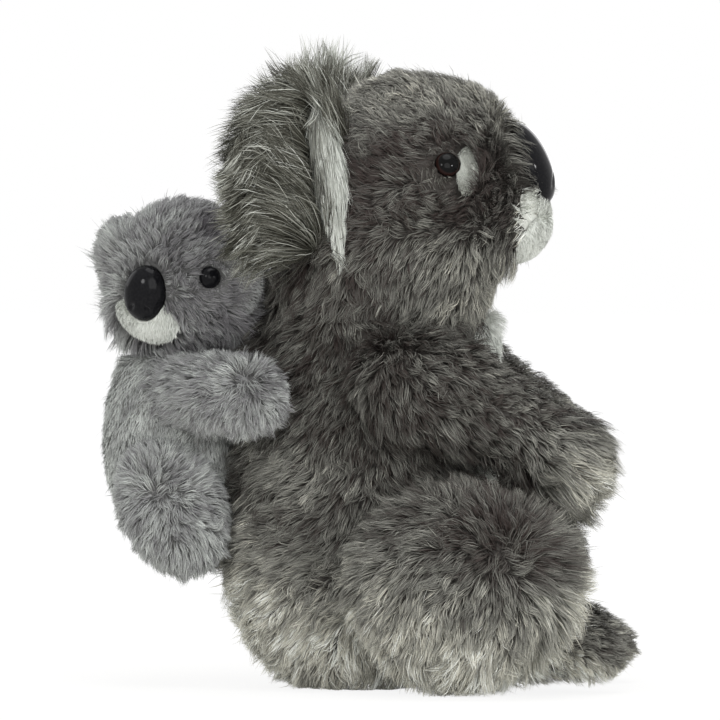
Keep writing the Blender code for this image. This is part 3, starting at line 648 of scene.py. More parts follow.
def mesh_from(name, groups, material):
    """One object from several groups of corners, loops, face sizes and map places."""
    starts = np.cumsum([0] + [len(group[0]) for group in groups])
    corners = np.concatenate([group[0] for group in groups])
    loops = np.concatenate([group[1] + start for group, start in zip(groups, starts)])
    sizes = np.concatenate([group[2] for group in groups])
    places = np.concatenate([group[3] for group in groups])
    mesh = bpy.data.meshes.new(name)
    mesh.vertices.add(len(corners))
    mesh.vertices.foreach_set("co", corners.astype(np.float32).reshape(-1))
    mesh.loops.add(len(loops))
    mesh.loops.foreach_set("vertex_index", loops.astype(np.int32))
    mesh.polygons.add(len(sizes))
    mesh.polygons.foreach_set("loop_start", (np.cumsum(sizes) - sizes).astype(np.int32))
    layer = mesh.uv_layers.new(name="OFBake")
    layer.data.foreach_set("uv", places.astype(np.float32).reshape(-1))
    mesh.update(calc_edges=True)
    mesh.shade_smooth()
    mesh.materials.append(material)
    made = bpy.data.objects.new(name, mesh)
    bpy.context.scene.collection.objects.link(made)
    return made, int((sizes - 2).sum())


print("mesh making ready")

# %% [markdown]
# One function dresses one form: it scatters the roots, combs and gathers the hair, gives each lock its tone
# and joins everything with the cloth skin into one padded piece. Where a neighbour is close, the skin stays
# at the form's surface, so that no seam gapes. Hair close to an eye stays short.

# %% Dressing a form
TRIANGLES = {}
LOWEST = 0.4 * MM  # above the floor
SEAM_START, SEAM_END = 0.3 * MM, 6 * MM
SHORT_BY_EYE = 0.28
HAIR_TONES, CLOTH_TONES = (0.01, 0.99), (0.03, 0.97)
HAIR_WIDTHS = (0.7, 1.3)


def off_seams(places, node):
    """0 where a neighbour touches and 1 well away from every neighbour."""
    return smooth_step(distances(places, neighbours(node)), SEAM_START, SEAM_END)


def dress(node, slot, coat, flow, tone, seed, eyes=(), eye_reach=9 * MM):
    """Replace a packed form by a cloth skin with its hair."""
    rng = np.random.default_rng(seed)
    places, normals = scatter(bare_surface(node), coat.per_mm2, rng)
    roots = places - normals * (coat.depth * off_seams(places, node))[:, None]
    shorter = np.ones(len(places))
    if eyes:
        off_eyes = smooth_step(distances(places, eyes), 1 * MM, eye_reach)
        shorter = SHORT_BY_EYE + (1 - SHORT_BY_EYE) * off_eyes
    points, stray = comb(places, normals, roots, flow(places, normals), coat, shorter, rng)
    pull = coat.pull * share_at(coat.smoother, places, normals)
    points, lock = gather(points, stray, pull, coat, rng)
    points[:, :, 2] = np.maximum(points[:, :, 2], LOWEST)
    tones = tone(places, normals) + rng.normal(size=lock.max() + 1)[lock] * coat.lock_tone
    tones += rng.normal(size=len(places)) * coat.hair_tone + stray * coat.stray_tone
    width = coat.width * rng.uniform(*HAIR_WIDTHS, len(places))
    hair = blades(points, normals, np.clip(tones, *HAIR_TONES), width, rng)
    shape = merged_copy(node)
    bmesh.ops.triangulate(shape, faces=shape.faces)
    shape.normal_update()
    depths = coat.depth * off_seams([corner.co for corner in shape.verts], node)
    cloth = np.full(len(shape.faces), coat.skin_tone)
    if coat.skin_paler:
        cloth += coat.skin_paler(np.array([face.calc_center_median() for face in shape.faces]))
    skin = skin_arrays(shape, depths, np.clip(cloth, *CLOTH_TONES))
    piece, TRIANGLES[node] = mesh_from(f"{node}_coat", [skin, hair], PILES[slot])
    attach(piece, BODY_OF[node])
    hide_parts(node)
    print(f"{node}: {len(places)} hairs, {TRIANGLES[node]} triangles")


# %% [markdown]
# The comb goes over the mother's flank in strokes. Each stroke has its place in the side view and the way it
# combs there, and a hair follows the strokes nearest to it. Her back and her arm part along a line down the
# flank: behind it the hair falls back, in front of it forwards along the arm.

# %% Combing strokes
STROKE_REACH = 17 * MM
# back and up from the origin in millimetres, then the way the hair is combed, back and up
FLANK_STROKES = (
    (32, 156, 0.6, -0.8),
    (27, 132, 0.8, -0.6),
    (41, 104, 0.8, -0.6),
    (54, 70, 0.95, -0.3),
    (17, 66, 0.9, -0.4),
    (37, 32, 0.7, -0.7),
    (-2, 18, 0.2, -1.0),
    (7, 109, 0.3, -1.0),
    (-10, 160, -0.3, -0.9),
    (-26, 150, -0.6, -0.8),
    (-31, 113, -0.7, -0.7),
    (-55, 147, -0.8, -0.6),
    (-60, 118, -0.9, -0.3),
    (-85, 128, -0.9, -0.4),
    (-104, 110, -0.8, -0.6),
)


def stroked(places, strokes):
    """The way the hair is combed at each place."""
    spots = np.array([stroke[:2] for stroke in strokes]) * MM
    ways = np.array([stroke[2:] for stroke in strokes])
    away = ((places[:, None, 1:] - spots[None]) ** 2).sum(2)
    weights = np.exp(-(away - away.min(1, keepdims=True)) / (2 * STROKE_REACH**2))
    way = weights @ ways / weights.sum(1, keepdims=True)
    return np.column_stack((np.zeros(len(way)), way))


def flank_flow(places, normals):
    """The way that the flank's strokes comb."""
    return stroked(places, FLANK_STROKES)


print(len(FLANK_STROKES), "strokes")

# %% [markdown]
# The tones of the mother's coat follow the way the pile opens, and paint light and shade: painted shade
# under the head, painted light that softens the hollow between arm and haunch, which stays darkest, and
# painted rim light along the low outline. Near the floor the coat is paler and beige, partly paler pile and
# partly painted bounce light from the floor, and it is pale at the hands.

# %% Tones of the mother's coat
# back and up from the origin and reach in millimetres, then how much paler
LIGHT_SHADE_AND_TONE_SPOTS = (
    (-45, 98, 17, 0.08),
    # painted shade under the head
    (-20, 152, 30, -0.03),
    (-112, 108, 16, 0.44),
    # painted light that softens the shade in the hollow between arm and haunch
    (-94, 92, 13, 0.22),
    (66, 90, 24, 0.18),
    (25, 105, 20, 0.13),
    (-76, 68, 20, -0.24),
    (62, 42, 18, 0.12),
)


LARGE_PATCH, LARGE_DRIFT = 16 * MM, 0.09
SMALL_PATCH, SMALL_DRIFT = 5 * MM, 0.07
# Near the floor the coat is paler, partly paler pile and partly painted bounce light from the floor.
FLANK_TONE, PALE_PILE_AND_FLOOR_BOUNCE, RIM_LIGHT_AND_TIPS_PALER = 0.22, 0.55, 0.18


def mottled(places, seed=21):
    """Tone that drifts over the coat in large and small patches."""
    large, small = waves(places, LARGE_PATCH, seed), waves(places, SMALL_PATCH, seed + 1)
    return LARGE_DRIFT * large + SMALL_DRIFT * small


def flank_tone(places, normals):
    """Base tone, spots of painted light and shade, paler near the floor, painted rim light low down."""
    facing_away = 1 - smooth_step(np.abs(normals[:, 0]), 0.15, 0.60)
    tone = FLANK_TONE + PALE_PILE_AND_FLOOR_BOUNCE * beneath(places, 90, 20) + mottled(places)
    # painted rim light, with paler tips, low down where the coat faces front, back or floor
    tone += RIM_LIGHT_AND_TIPS_PALER * beneath(places, 120, 70) * facing_away
    for back, up, reach, paler in LIGHT_SHADE_AND_TONE_SPOTS:
        away = (places[:, 1] - back * MM) ** 2 + (places[:, 2] - up * MM) ** 2
        tone += paler * np.exp(-away / (2 * (reach * MM) ** 2))
    return tone


print(len(LIGHT_SHADE_AND_TONE_SPOTS), "spots of another tone")

# %% [markdown]
# The body and the arms wear the longest pile. Its length is adjusted where an outline asks for it: fuller at
# the near hand and beneath the forearm, short on top of it, and long on the nape behind the young one.

# %% The mother's body and arms
LONG_COAT = Coat(
    per_mm2=1.20, length=12.5 * MM, lift=(28, 64), depth=5.2 * MM, width=0.42 * MM, lock=16, pull=0.62,
)


def fuller_in_front(start, end, right, left):
    """Hair that gets longer or shorter towards the front, on each side by its own share."""
    def longer(places, normals):
        return 1 + np.where(places[:, 0] < 0, right, left) * ahead(places, start, end)
    return longer


def back_longer(places, normals):
    """Longer on the nape behind the young one's cheek, where it closes the gap."""
    return 1 + 0.9 * near_spot(places, 56, 168, 6, 18)


def arm_longer(places, normals):
    """Longest at the near hand and beneath the forearm, and short along its upper edge."""
    forearm = ahead(places, 50, 72) * behind(places, -110, -98)
    upper_edge = forearm * above(places, 116, 132)
    lower_edge = forearm * beneath(places, 112, 98)
    length = fuller_in_front(80, 106, 0.5, -0.45)(places, normals)
    return length * (1 - 0.48 * upper_edge) + 0.6 * lower_edge


BODY_COAT = replace(LONG_COAT, longer=back_longer)
ARM_COAT = replace(LONG_COAT, longer=arm_longer)
dress("mother_body", "grey_fur", BODY_COAT, flank_flow, flank_tone, seed=101)
for side_name, side in SIDES:
    dress(f"mother_arm_{side_name}", "grey_fur", ARM_COAT, flank_flow, flank_tone, seed=110 + side)

# %% [markdown]
# Each haunch has a whorl on its outer side. The hair spreads from it in all directions, turns a little as it
# goes and falls towards the floor. The feet are combed to the toes.

# %% The mother's haunches and feet
WHORL = (97 * MM, -77 * MM, 67 * MM)
WHORL_TURN = -0.3
TO_TOES = one_way(-1.0, -0.25)


def mirrored_spots(places, spot):
    """A spot on the left, or its mirror image for the places on the right, as one row a place."""
    side = sides_of(places)
    return np.column_stack((side * spot[0], np.full(len(side), spot[1]), np.full(len(side), spot[2])))


def whorl_flow(places, normals):
    """Outwards from the whorl on the haunch's outer side, then down."""
    spread = unit(places - mirrored_spots(places, WHORL))
    turned = np.column_stack((np.zeros(len(places)), -spread[:, 2], spread[:, 1])) * WHORL_TURN
    low = beneath(places, 62, 30)[:, None]
    return spread + turned + np.array([(0, 0, -0.25)]) + low * np.array([(0, 0, -0.7)])


def foot_tone(places, normals):
    """Dark on top, pale beneath."""
    return 0.43 + 0.40 * smooth_step(-normals[:, 2], -0.1, 0.8) + mottled(places, seed=61)


def haunch_longer(places, normals):
    """Longest in front on the near side, and close to the floor."""
    return fuller_in_front(76, 98, 0.6, -0.4)(places, normals) + 0.6 * beneath(places, 26, 10)


FOOT_COAT = replace(LONG_COAT, length=8 * MM, depth=3.2 * MM, per_mm2=1.5)
HAUNCH_COAT = replace(LONG_COAT, longer=haunch_longer)
for side_name, side in SIDES:
    dress(f"mother_haunch_{side_name}", "grey_fur", HAUNCH_COAT, whorl_flow, flank_tone, seed=120 + side)
    dress(f"mother_foot_{side_name}", "grey_fur", FOOT_COAT, TO_TOES, foot_tone, seed=130 + side)

# %% [markdown]
# The head's hair runs away from the nose: up over the brow, back over the cheeks and down the jaw, where it
# hangs. The helpers here name the places that the next cell gives their lengths and tones.

# %% The lie of the head's hair
FACE_TIP = np.array([(0, -88 * MM, 226 * MM)])
NOSE_MIDDLE = np.array([(0, -80 * MM, 251 * MM)])
EYES = ("mother_eye_right", "mother_eye_left")
PATCHES = ("mother_eye_patch_right", "mother_eye_patch_left")


def near_nose(places):
    """1 at the nose's edge and 0 some way off, above the chin."""
    return near_piece(places, ("mother_nose",), 2, 11) * above(places, 232, 242)


def off_nose(places, near, far):
    """0 near the nose's middle and 1 far from it."""
    return smooth_step(np.linalg.norm(places - NOSE_MIDDLE, axis=1), near * MM, far * MM)


def head_flow(places, normals):
    """Away from the face's tip, over the nose's edge, and down on the jaw."""
    back = unit(places - FACE_TIP)
    hang = beneath(places, 228, 196)[:, None]
    over_nose = near_nose(places)[:, None]
    return back * (1 - 0.6 * hang) * (1 - 1.7 * over_nose) + hang * np.array([(0, 0.12, -1.0)])


def crown(places):
    """1 on the crown and 0 on the cheeks."""
    return above(places, 252, 284)


def before_patch(places):
    """1 just in front of the white patches by the eyes."""
    return near_piece(places, PATCHES, 2, 7) * ahead(places, 53, 57)


def beside_chin(places):
    """1 where the chin's white pile runs on up along the nose, with a rounded upper corner."""
    start = 75 * MM + 4 * MM * above(places, 226, 241)
    in_front = smooth_step(-places[:, 1] - start, 0, 2 * MM)
    return above(places, 207, 212) * beneath(places, 243, 238) * in_front * (np.abs(places[:, 0]) < 28 * MM)


print("the head is combed away from", FACE_TIP[0] / MM)

# %% [markdown]
# The head's pile is short and smooth on the crown, longest on the cheeks, and stands up round the nose.
# Painted light makes it pale on the crown and painted shade dark on the cheek, which makes the face look
# round, and it is pale on the jaw.

# %% The mother's head
def head_longer(places, normals):
    """Short on the crown and round the nose, full on the cheeks, and reaching over the eyes' patches."""
    short = (1 - 0.38 * crown(places)) * (0.60 + 0.40 * off_nose(places, 20, 42))
    short *= 1 - 0.25 * beside_chin(places)
    return short + 0.55 * near_nose(places) + 0.55 * before_patch(places)


def head_upright(places, normals):
    """Standing up round the nose."""
    return np.maximum(0.45 + 0.55 * off_nose(places, 18, 40), 0.85 * near_nose(places))


def head_smoother(places, normals):
    """Few locks on the crown."""
    return 1 - 0.65 * crown(places)


def head_tone(places, normals):
    """Crown in painted light, cheek in painted shade, pale jaw, pale round the nose, white by the chin."""
    jaw = beneath(places, 230, 206) * (0.30 + 0.70 * ahead(places, 15, 48))
    round_nose = 1 - off_nose(places, 20, 42)
    # the crown's share is painted light from above; the cheek, left at the low base, is painted shade
    tone = 0.07 + 0.43 * crown(places) + 0.52 * jaw + 0.24 * round_nose
    return tone + mottled(places, seed=31) * (1 - 0.6 * crown(places)) + beside_chin(places)


HEAD_COAT = replace(
    LONG_COAT, length=11.5 * MM, lift=(34, 70), depth=4.2 * MM, longer=head_longer, upright=head_upright,
    smoother=head_smoother, skin_paler=beside_chin,
)
dress("mother_head", "grey_fur", HEAD_COAT, head_flow, head_tone, seed=102, eyes=EYES)

# %% [markdown]
# The ears are the shaggiest part: fine pale hairs of 25 mm and more over darker ones. They rise from the
# fold and arch over the ear's face. On the far ear's upper edge they stand up in wisps, as photographed.

# %% The mother's ears
EAR_FOLD_AT = (47.4 * MM, 10 * MM)
EAR_OUT = (0.616, 0.788)
EAR_REACH = 60 * MM
EAR_MIDDLE, EAR_HALF = 246 * MM, 40 * MM


def ear_places(places):
    """The share of the way from fold to rim, the share of the height from -1 to 1, and the side."""
    side = sides_of(places)
    out = (places[:, 0] * side - EAR_FOLD_AT[0]) * EAR_OUT[0] + (places[:, 1] - EAR_FOLD_AT[1]) * EAR_OUT[1]
    return out / EAR_REACH, (places[:, 2] - EAR_MIDDLE) / EAR_HALF, side


def ear_flow(places, normals):
    """Rising from the fold, arching to the rim, and fanned out on the far ear's upper edge."""
    out, height, side = ear_places(places)
    rise = 1.4 * (1 - np.clip(out, 0, 1)) ** 2 - 0.45 * out - 0.7 * out * smooth_step(-height, 0.1, 0.8)
    top = smooth_step(height, 0.45, 0.95)
    rise += np.where(side > 0, 2.6 * top, -1.3 * out * smooth_step(height, 0.0, 0.6))
    fan = np.where(side > 0, 1 - top + top * (3.0 * out - 1.6), 1.0)
    return np.column_stack((side * EAR_OUT[0] * fan, EAR_OUT[1] * fan, rise))


def wisps(places):
    """1 in the spots of the far ear's upper edge where a wisp stands, else 0."""
    out, height, side = ear_places(places)
    return smooth_step(waves(places, 3 * MM, 73), 0.35, 0.60) * smooth_step(height, 0.6, 0.95) * (side > 0)


def ear_longer(places, normals):
    """Long from the fold, short at the rim, and longest in the wisps."""
    out, height, side = ear_places(places)
    corner = smooth_step(height, 0.3, 0.7) * smooth_step(out, 0.4, 0.8) * (side < 0)
    return 1.35 - 0.85 * smooth_step(out, 0.30, 0.85) - 0.2 * corner + 1.8 * wisps(places)


def ear_upright(places, normals):
    """Flat on the near ear's upper edge, half up on the far ear's, and up in the wisps."""
    out, height, side = ear_places(places)
    top = smooth_step(height, 0.45, 0.95)
    half_up = 0.34 * top * (1 - smooth_step(out, 0.55, 0.85))
    return np.where(side > 0, 1 - np.maximum(half_up, 0.85 * wisps(places)), 1 + 0.3 * top)


def ear_tone(places, normals):
    """Olive grey with paler hair at the edges, which painted light makes paler still on the far ear."""
    out, height, side = ear_places(places)
    edge = np.maximum(smooth_step(out, 0.75, 1.0), smooth_step(height, 0.55, 0.95))
    # on the far ear the edges' 0.56 against the near ear's 0.10 is painted light
    return 0.20 + 0.08 * waves(places, 8 * MM, 71) + edge * np.where(side > 0, 0.56, 0.10)


EAR_COAT = Coat(
    per_mm2=1.6, length=21 * MM, lift=(58, 88), depth=2.4 * MM, width=0.34 * MM, lock=12, pull=0.80, steps=5,
    bend=0.42, jitter=0.15, uneven=0.3, frizz=0.30 * MM, strays=0.10, stray_lift=1.0, stray_tone=0.36,
    longest=33 * MM, lock_tone=0.16, hair_tone=0.22, skin_tone=0.15, longer=ear_longer, upright=ear_upright,
)
NEAR_EAR_COAT = replace(EAR_COAT, length=25 * MM, longest=37 * MM)
dress("mother_ear_right", "ear_fur", NEAR_EAR_COAT, ear_flow, ear_tone, seed=139)
dress("mother_ear_left", "ear_fur", EAR_COAT, ear_flow, ear_tone, seed=141)

# %% [markdown]
# White pile is sewn in on the chest, the chin, before the eyes and along each ear's fold. The tufts at the
# ears are long and smooth and hang down along the fold. The rest is short and dense, like velvet.

# %% The white pile's lie and tones
DOWNWARDS = one_way(-0.2, -1.0)
ALONG_FOLD = one_way(-0.12, -1.0)


def tuft_tone(places, normals):
    """White along the face's side, greyer towards the ear."""
    return 0.50 - 0.32 * behind(places, 10, 17) + 0.08 * waves(places, 4 * MM, 82)


def chin_flow(places, normals):
    """Down, but up and back along the upper edge."""
    top = above(places, 220, 230)[:, None]
    return DOWNWARDS(places, normals) * (1 - top) + np.array([(0, 0.5, 1.0)]) * top


def patch_tone(places, normals):
    """White by the eye, a little greyer in front and below."""
    return 0.35 - 0.15 * np.maximum(ahead(places, 50, 54), beneath(places, 246, 240))


def chin_longer(places, normals):
    """Longer along the upper edge, behind the nose, and short beneath."""
    upper_edge = above(places, 218, 230) * behind(places, -84, -78)
    return 1 - 0.5 * beneath(places, 222, 208) + 1.6 * upper_edge


def even_white(places, normals):
    """A white that hardly varies."""
    return 0.72 + 0.10 * waves(places, 6 * MM, 81)


print("white pile ready")

# %% [markdown]
# Each white piece has a coat of its own, from 2 mm by the eyes to 17 mm on the tufts. Where hair is that
# short, two faces a hair are enough.

# %% The white pieces
VELVET = Coat(
    per_mm2=4.0, length=3.2 * MM, lift=(25, 62), depth=0.6 * MM, width=0.32 * MM, lock=8, pull=0.15, steps=2,
    bend=0.15, sag=0.1, frizz=0.1 * MM, strays=0.0, lock_tone=0.05, hair_tone=0.08, skin_tone=0.6,
)
CHIN_COAT = replace(VELVET, depth=1.4 * MM, longer=chin_longer)
PATCH_COAT = replace(VELVET, length=2 * MM, lock_tone=0.02, hair_tone=0.04, skin_tone=0.30)
BIB_COAT = replace(VELVET, length=9 * MM, per_mm2=3.0, lift=(38, 70), pull=0.4, steps=3)
TUFT_COAT = replace(
    VELVET, length=17 * MM, per_mm2=2.6, lift=(80, 93), pull=0.5, steps=5, lock=14, lock_tone=0.08,
    hair_tone=0.10, jitter=0.06, bend=0.05, frizz=0.2 * MM, strays=0.0,
)
dress("mother_chest_bib", "white_fur", BIB_COAT, DOWNWARDS, even_white, seed=151)
dress("mother_chin", "white_fur", CHIN_COAT, chin_flow, even_white, seed=152)
for side_name, side in SIDES:
    dress(
        f"mother_eye_patch_{side_name}", "white_fur", PATCH_COAT, DOWNWARDS, patch_tone, seed=160 + side,
        eyes=EYES, eye_reach=4 * MM,
    )
    dress(f"mother_ear_tuft_{side_name}", "white_fur", TUFT_COAT, ALONG_FOLD, tuft_tone, seed=170 + side)

# %% [markdown]
# The young one has a shorter, cooler grey coat. On its back it lies smooth, and its arms and legs have small
# whorls. Its head looks out to the mother's right, so its hair runs back from a nose that points that way.

# %% The young one's coat
SHORT_COAT = Coat(
    per_mm2=1.8, length=9 * MM, lift=(28, 64), depth=3.6 * MM, width=0.36 * MM, lock=14, pull=0.55,
    bend=0.35, sag=0.10, lock_tone=0.06, hair_tone=0.11, skin_tone=0.45,
)
SMOOTH_COAT = replace(
    SHORT_COAT, length=5.5 * MM, depth=1.6 * MM, pull=0.2, lift=(50, 82), lock_tone=0.02, hair_tone=0.05,
    skin_tone=0.7,
)
DOWN_BACK = one_way(0.15, -1.0)
YOUNG_OUT = 55 * MM  # how far out the whorls of its arms and legs are
YOUNG_NOSE_LOW, YOUNG_NOSE_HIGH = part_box("young_nose")
YOUNG_FACE = np.array([(Vector(YOUNG_NOSE_LOW) + Vector(YOUNG_NOSE_HIGH)) / 2])


def young_whorl(back, up):
    """Outwards from a point on the outer side of the young one's arm or leg."""
    def flow(places, normals):
        centre = mirrored_spots(places, (YOUNG_OUT, back, up))
        return unit(places - centre) + np.array([(0, 0, -0.35)])
    return flow


def young_head_flow(places, normals):
    """Back from the young one's nose, and down on the outer cheek."""
    hang = (beneath(places, 196, 172) * behind(places, 85, 105))[:, None]
    return unit(places - YOUNG_FACE) + np.array([(0, 0, -0.10)]) + hang * np.array([(0, 0, -1.2)])


def young_tone(paler):
    """Even, with soft patches, at a base tone of its own."""
    def tone(places, normals):
        return paler + 0.08 * waves(places, 10 * MM, 91) + 0.05 * waves(places, 4 * MM, 92)
    return tone


def young_head_tone(places, normals):
    """Painted shade about the inner eye and in the hollow by the ear, paler on the outer cheek."""
    tone = young_tone(0.32)(places, normals) + 0.06 * above(places, 180, 215)
    # the darker spot at 74 mm back and 219 mm up is painted shade in that hollow
    return tone + 0.22 * behind(places, 80, 120) - 0.35 * near_spot(places, 74, 219, 2, 8)


def young_head_longer(places, normals):
    """Fullest on the outer cheek and about its eye, and where the inner cheek meets the mother's nape."""
    low = beneath(places, 200, 170)
    outer, inner = behind(places, 85, 115), ahead(places, -72, -58)
    by_eye = near_piece(places, ("young_eye_right",), 1, 9)
    return 1 + 1.3 * low * outer + 1.1 * low * inner + 0.8 * by_eye


print("the young one looks from", YOUNG_FACE[0] / MM)

# %% [markdown]
# Its arms and legs keep the short coat, its body and ears wear the smooth one, and its head lies between: a
# little shorter on the face, and fuller on the cheeks.

# %% The young one's pieces
YOUNG_HEAD_COAT = replace(SHORT_COAT, length=8 * MM, longer=young_head_longer)
YOUNG_EAR_COAT = replace(SMOOTH_COAT, length=5 * MM, depth=0.8 * MM)
ARM_WHORL = young_whorl(52 * MM, 146 * MM)
LEG_WHORL = young_whorl(97 * MM, 94 * MM)

dress("young_body", "young_fur", SMOOTH_COAT, DOWN_BACK, young_tone(0.76), seed=201)
dress(
    "young_head", "young_fur", YOUNG_HEAD_COAT, young_head_flow, young_head_tone, seed=202,
    eyes=("young_eye_left",), eye_reach=6 * MM,
)
dress("young_muzzle", "white_fur", VELVET, DOWN_BACK, even_white, seed=203)
for side_name, side in SIDES:
    dress(f"young_arm_{side_name}", "young_fur", SHORT_COAT, ARM_WHORL, young_tone(0.53), seed=210 + side)
    dress(f"young_leg_{side_name}", "young_fur", SHORT_COAT, LEG_WHORL, young_tone(0.58), seed=220 + side)
    dress(
        f"young_ear_{side_name}", "young_fur", YOUNG_EAR_COAT, young_head_flow, young_tone(0.56),
        seed=230 + side,
    )

# %% [markdown]
# Eyes and noses are moulded plastic: a dome on a thin rim, with a shank that a lock washer grips inside the
# head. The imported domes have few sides, so each is spun again with many. Its washer tells its axis, because a
# flat ring is thinnest along it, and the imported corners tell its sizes.

# %% Measuring a moulded piece
WIDEST = 0.985  # a share of the reach that only the edge's corners have
ROUND_ENOUGH = 0.97  # a dome with a larger share of length to width counts as round
SHANK_END = 0.5 * MM


def corners_of(node):
    """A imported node's corners as an array."""
    return np.array([corner.co for corner in frame["nodes"][node].data.vertices])


@dataclass
class Moulded:
    """The seat, the turn and the sizes of a packed eye or nose."""
    seat: Vector
    turn: Matrix
    half_width: float
    half_length: float
    dome: float
    rim: float
    shank: float
    shank_length: float


def measured(node, rim):
    """Read a moulded piece's sizes from its node and its washer."""
    ring, body = corners_of(f"{node}_lock_washer"), corners_of(node)
    centre = ring.mean(0)
    axis = np.linalg.svd(ring - centre, full_matrices=False)[2][2]
    axis *= np.sign((body.mean(0) - centre) @ axis)
    height = (body - centre) @ axis
    off = body - centre - height[:, None] * axis
    reach = np.linalg.norm(off, axis=1)
    edge = reach > WIDEST * reach.max()
    top = height[edge].max()
    up = off[reach.argmax()] / reach.max()
    up = up if up[2] > 0 else -up
    if reach.max() * ROUND_ENOUGH < np.abs(off @ np.cross(axis, up)).max():
        level = np.cross((0, 0, 1), axis)
        up = np.cross(axis, level / np.linalg.norm(level))
    side = np.cross(up, axis)
    low = height < height.min() + SHANK_END
    return Moulded(
        seat=Vector(centre + axis * top),
        turn=Matrix((side, up, axis)).transposed().to_4x4(),
        half_width=np.abs(off @ side).max(),
        half_length=np.abs(off @ up).max(),
        dome=height.max() - top,
        rim=rim,
        shank=reach[low].max(),
        shank_length=top - height.min(),
    )


print("measuring ready")

# %% [markdown]
# The outline of half a section is spun round its axis. The front is then narrowed to an oval, and two soft
# dents low on a nose make its nostrils. Dents are pressed in by moving corners, which keeps the dome smooth.

# %% Spinning a moulded piece
DOME_STEPS = 18
ROUND_STEPS = 72
RIM_ROUNDING = 0.3  # a share of the rim
NOSTRIL_SLANT = 0.35
DENT_FALL = 1.4


@dataclass
class Nostrils:
    """Two dents: how far apart and below the middle they are, how wide, how long and how deep."""
    spread: float
    drop: float
    width: float
    length: float
    depth: float


def spun(sizes, nostrils=None):
    """A dome on a rim with a shank, at its seat."""
    radius = sizes.half_length
    angles = np.linspace(math.pi / 2, 0, DOME_STEPS + 1)
    outline = [(radius * math.cos(angle), sizes.dome * math.sin(angle)) for angle in angles]
    soft = sizes.rim * RIM_ROUNDING
    outline += [(radius, -sizes.rim + soft), (radius - soft, -sizes.rim), (sizes.shank, -sizes.rim)]
    outline += [(sizes.shank, -sizes.shank_length), (0, -sizes.shank_length)]
    shape = bmesh.new()
    corners = [shape.verts.new((across, 0, up)) for across, up in outline]
    edges = [shape.edges.new(pair) for pair in zip(corners, corners[1:])]
    bmesh.ops.spin(
        shape, geom=corners + edges, cent=(0, 0, 0), axis=(0, 0, 1), angle=math.tau, steps=ROUND_STEPS,
        use_merge=True,
    )
    bmesh.ops.remove_doubles(shape, verts=shape.verts, dist=0.001 * MM)
    bmesh.ops.recalc_face_normals(shape, faces=shape.faces)
    for corner in shape.verts:
        if corner.co.z > -sizes.rim - TINY:
            corner.co.x *= sizes.half_width / sizes.half_length
    if nostrils:
        press_nostrils(shape, nostrils)
    bmesh.ops.transform(shape, matrix=Matrix.Translation(sizes.seat) @ sizes.turn, verts=shape.verts)
    return shape


def press_nostrils(shape, dents):
    """Press two slanting oval dents into the front."""
    for corner in shape.verts:
        for _, side in SIDES:
            along = corner.co.y + dents.drop
            across = (corner.co.x - side * dents.spread / 2) + NOSTRIL_SLANT * side * along
            far = (across / (dents.width / 2)) ** 2 + (along / (dents.length / 2)) ** 2
            if corner.co.z > 0 and far < 4:
                corner.co.z -= dents.depth * math.exp(-DENT_FALL * far)


print("spinning ready")

# %% [markdown]
# Polished black plastic mirrors the room. A faint grain breaks its reflections, as a mould's polish does. The
# mother's eyes have a black pupil in dark brown: an attribute named from_axis holds how far each corner is
# from the eye's axis, and a ramp turns it into pupil and iris.

# %% Plastic materials
PLASTIC_IOR = 1.18
GRAIN_SCALE, GRAIN_DETAIL, GRAIN_HEIGHT = 900, 4, 0.05 * MM
IRIS_EDGE, RIM_START = 0.03, 0.97  # shares of the way from the axis to the rim


def grained(nodes, links, surface, strength, low, high):
    """A fine bump and a slightly uneven polish."""
    where = nodes.new("ShaderNodeTexCoord")
    noise = nodes.new("ShaderNodeTexNoise")
    noise.inputs["Scale"].default_value = GRAIN_SCALE
    noise.inputs["Detail"].default_value = GRAIN_DETAIL
    links.new(where.outputs["Object"], noise.inputs["Vector"])
    bump = nodes.new("ShaderNodeBump")
    bump.inputs["Strength"].default_value = strength
    bump.inputs["Distance"].default_value = GRAIN_HEIGHT
    links.new(noise.outputs["Fac"], bump.inputs["Height"])
    links.new(bump.outputs["Normal"], surface.inputs["Normal"])
    polish = nodes.new("ShaderNodeMapRange")
    polish.inputs["To Min"].default_value = low
    polish.inputs["To Max"].default_value = high
    links.new(noise.outputs["Fac"], polish.inputs["Value"])
    links.new(polish.outputs["Result"], surface.inputs["Roughness"])
    return noise


def plastic(name, dark, light, polish, grain):
    """Moulded plastic whose colour and polish vary a little."""
    material = bpy.data.materials.new(name)
    material.use_nodes = True
    nodes, links = material.node_tree.nodes, material.node_tree.links
    surface = nodes["Principled BSDF"]
    surface.inputs["IOR"].default_value = PLASTIC_IOR
    noise = grained(nodes, links, surface, grain, *polish)
    links.new(
        ramp(nodes, links, noise.outputs["Fac"], [(0.3, dark), (0.7, light)]), surface.inputs["Base Color"]
    )
    return material


def eye_plastic(name, pupil, iris, pupil_share):
    """A black pupil in a dark iris."""
    material = plastic(name, pupil, pupil, (0.05, 0.08), 0.02)
    nodes, links = material.node_tree.nodes, material.node_tree.links
    distance = nodes.new("ShaderNodeAttribute")
    distance.attribute_name = "from_axis"
    inner, outer = pupil_share - IRIS_EDGE, pupil_share + IRIS_EDGE
    stops = [(inner, pupil), (outer, iris), (RIM_START, iris), (1.0, pupil)]
    colour = ramp(nodes, links, distance.outputs["Fac"], stops)
    links.new(colour, nodes["Principled BSDF"].inputs["Base Color"])
    return material


BLACK_PLASTIC = plastic("black_plastic", (0.004, 0.004, 0.005), (0.009, 0.009, 0.010), (0.07, 0.14), 0.15)
BLACK_EYE = plastic("black_eye", (0.004, 0.004, 0.005), (0.007, 0.007, 0.008), (0.05, 0.08), 0.02)
BROWN_EYE = eye_plastic("brown_eye", (0.003, 0.003, 0.003), (0.014, 0.006, 0.005), 0.84)
WASHER_PLASTIC = plastic("washer_plastic", (0.66, 0.66, 0.63), (0.78, 0.78, 0.76), (0.4, 0.6), 0.15)
print("four plastics")

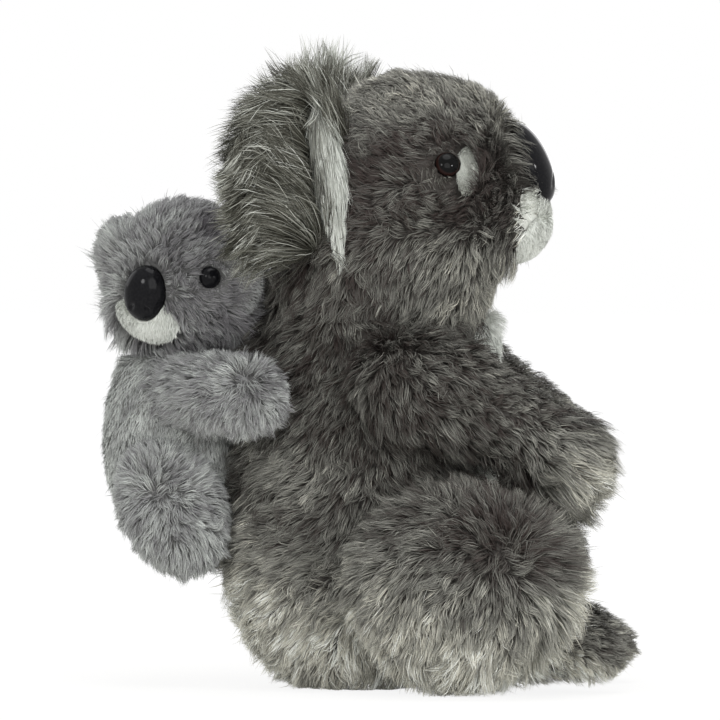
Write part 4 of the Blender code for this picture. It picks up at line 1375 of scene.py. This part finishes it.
# %% [markdown]
# Now each eye and nose is measured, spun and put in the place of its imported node. The washers sit unseen
# inside the heads. Their packed rings are right, so they only get their material.

# %% Eyes, noses and washers
MOTHER_NOSTRILS = Nostrils(spread=9 * MM, drop=13 * MM, width=4.0 * MM, length=6.0 * MM, depth=1.0 * MM)
YOUNG_NOSTRILS = Nostrils(spread=8 * MM, drop=6.5 * MM, width=3.0 * MM, length=4.5 * MM, depth=1.6 * MM)
MOULDED = (
    # node, rim, material, slot, nostrils
    ("mother_eye_right", 1.5 * MM, BROWN_EYE, "brown_eye", None),
    ("mother_eye_left", 1.5 * MM, BROWN_EYE, "brown_eye", None),
    ("mother_nose", 2.5 * MM, BLACK_PLASTIC, "black_plastic", MOTHER_NOSTRILS),
    ("young_eye_right", 1.5 * MM, BLACK_EYE, "black_plastic", None),
    ("young_eye_left", 1.5 * MM, BLACK_EYE, "black_plastic", None),
    ("young_nose", 2.0 * MM, BLACK_PLASTIC, "black_plastic", YOUNG_NOSTRILS),
)
for node, rim, material, slot, nostrils in MOULDED:
    sizes = measured(node, rim)
    shape = spun(sizes, nostrils)
    mesh = bpy.data.meshes.new(f"{node}_moulded")
    shape.to_mesh(mesh)
    shape.free()
    mesh.materials.append(material)
    mesh.shade_smooth()
    back = (sizes.turn.to_3x3().transposed() @ (corner.co - sizes.seat) for corner in mesh.vertices)
    shares = [math.hypot(place.x / sizes.half_width, place.y / sizes.half_length) for place in back]
    mesh.attributes.new("from_axis", "FLOAT", "POINT").data.foreach_set("value", shares)
    piece = bpy.data.objects.new(mesh.name, mesh)
    bpy.context.scene.collection.objects.link(piece)
    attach(piece, BODY_OF[node])
    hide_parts(node)
    TRIANGLES[node] = sum(len(face.vertices) - 2 for face in mesh.polygons)
    seat = tuple(round(value / MM, 1) for value in sizes.seat)
    print(node, "seat", seat, "dome", round(sizes.dome / MM, 1))

for name, node in frame["nodes"].items():
    if name.endswith("lock_washer"):
        node.data.materials.clear()
        node.data.materials.append(WASHER_PLASTIC)
print("triangles in all", sum(TRIANGLES.values()))
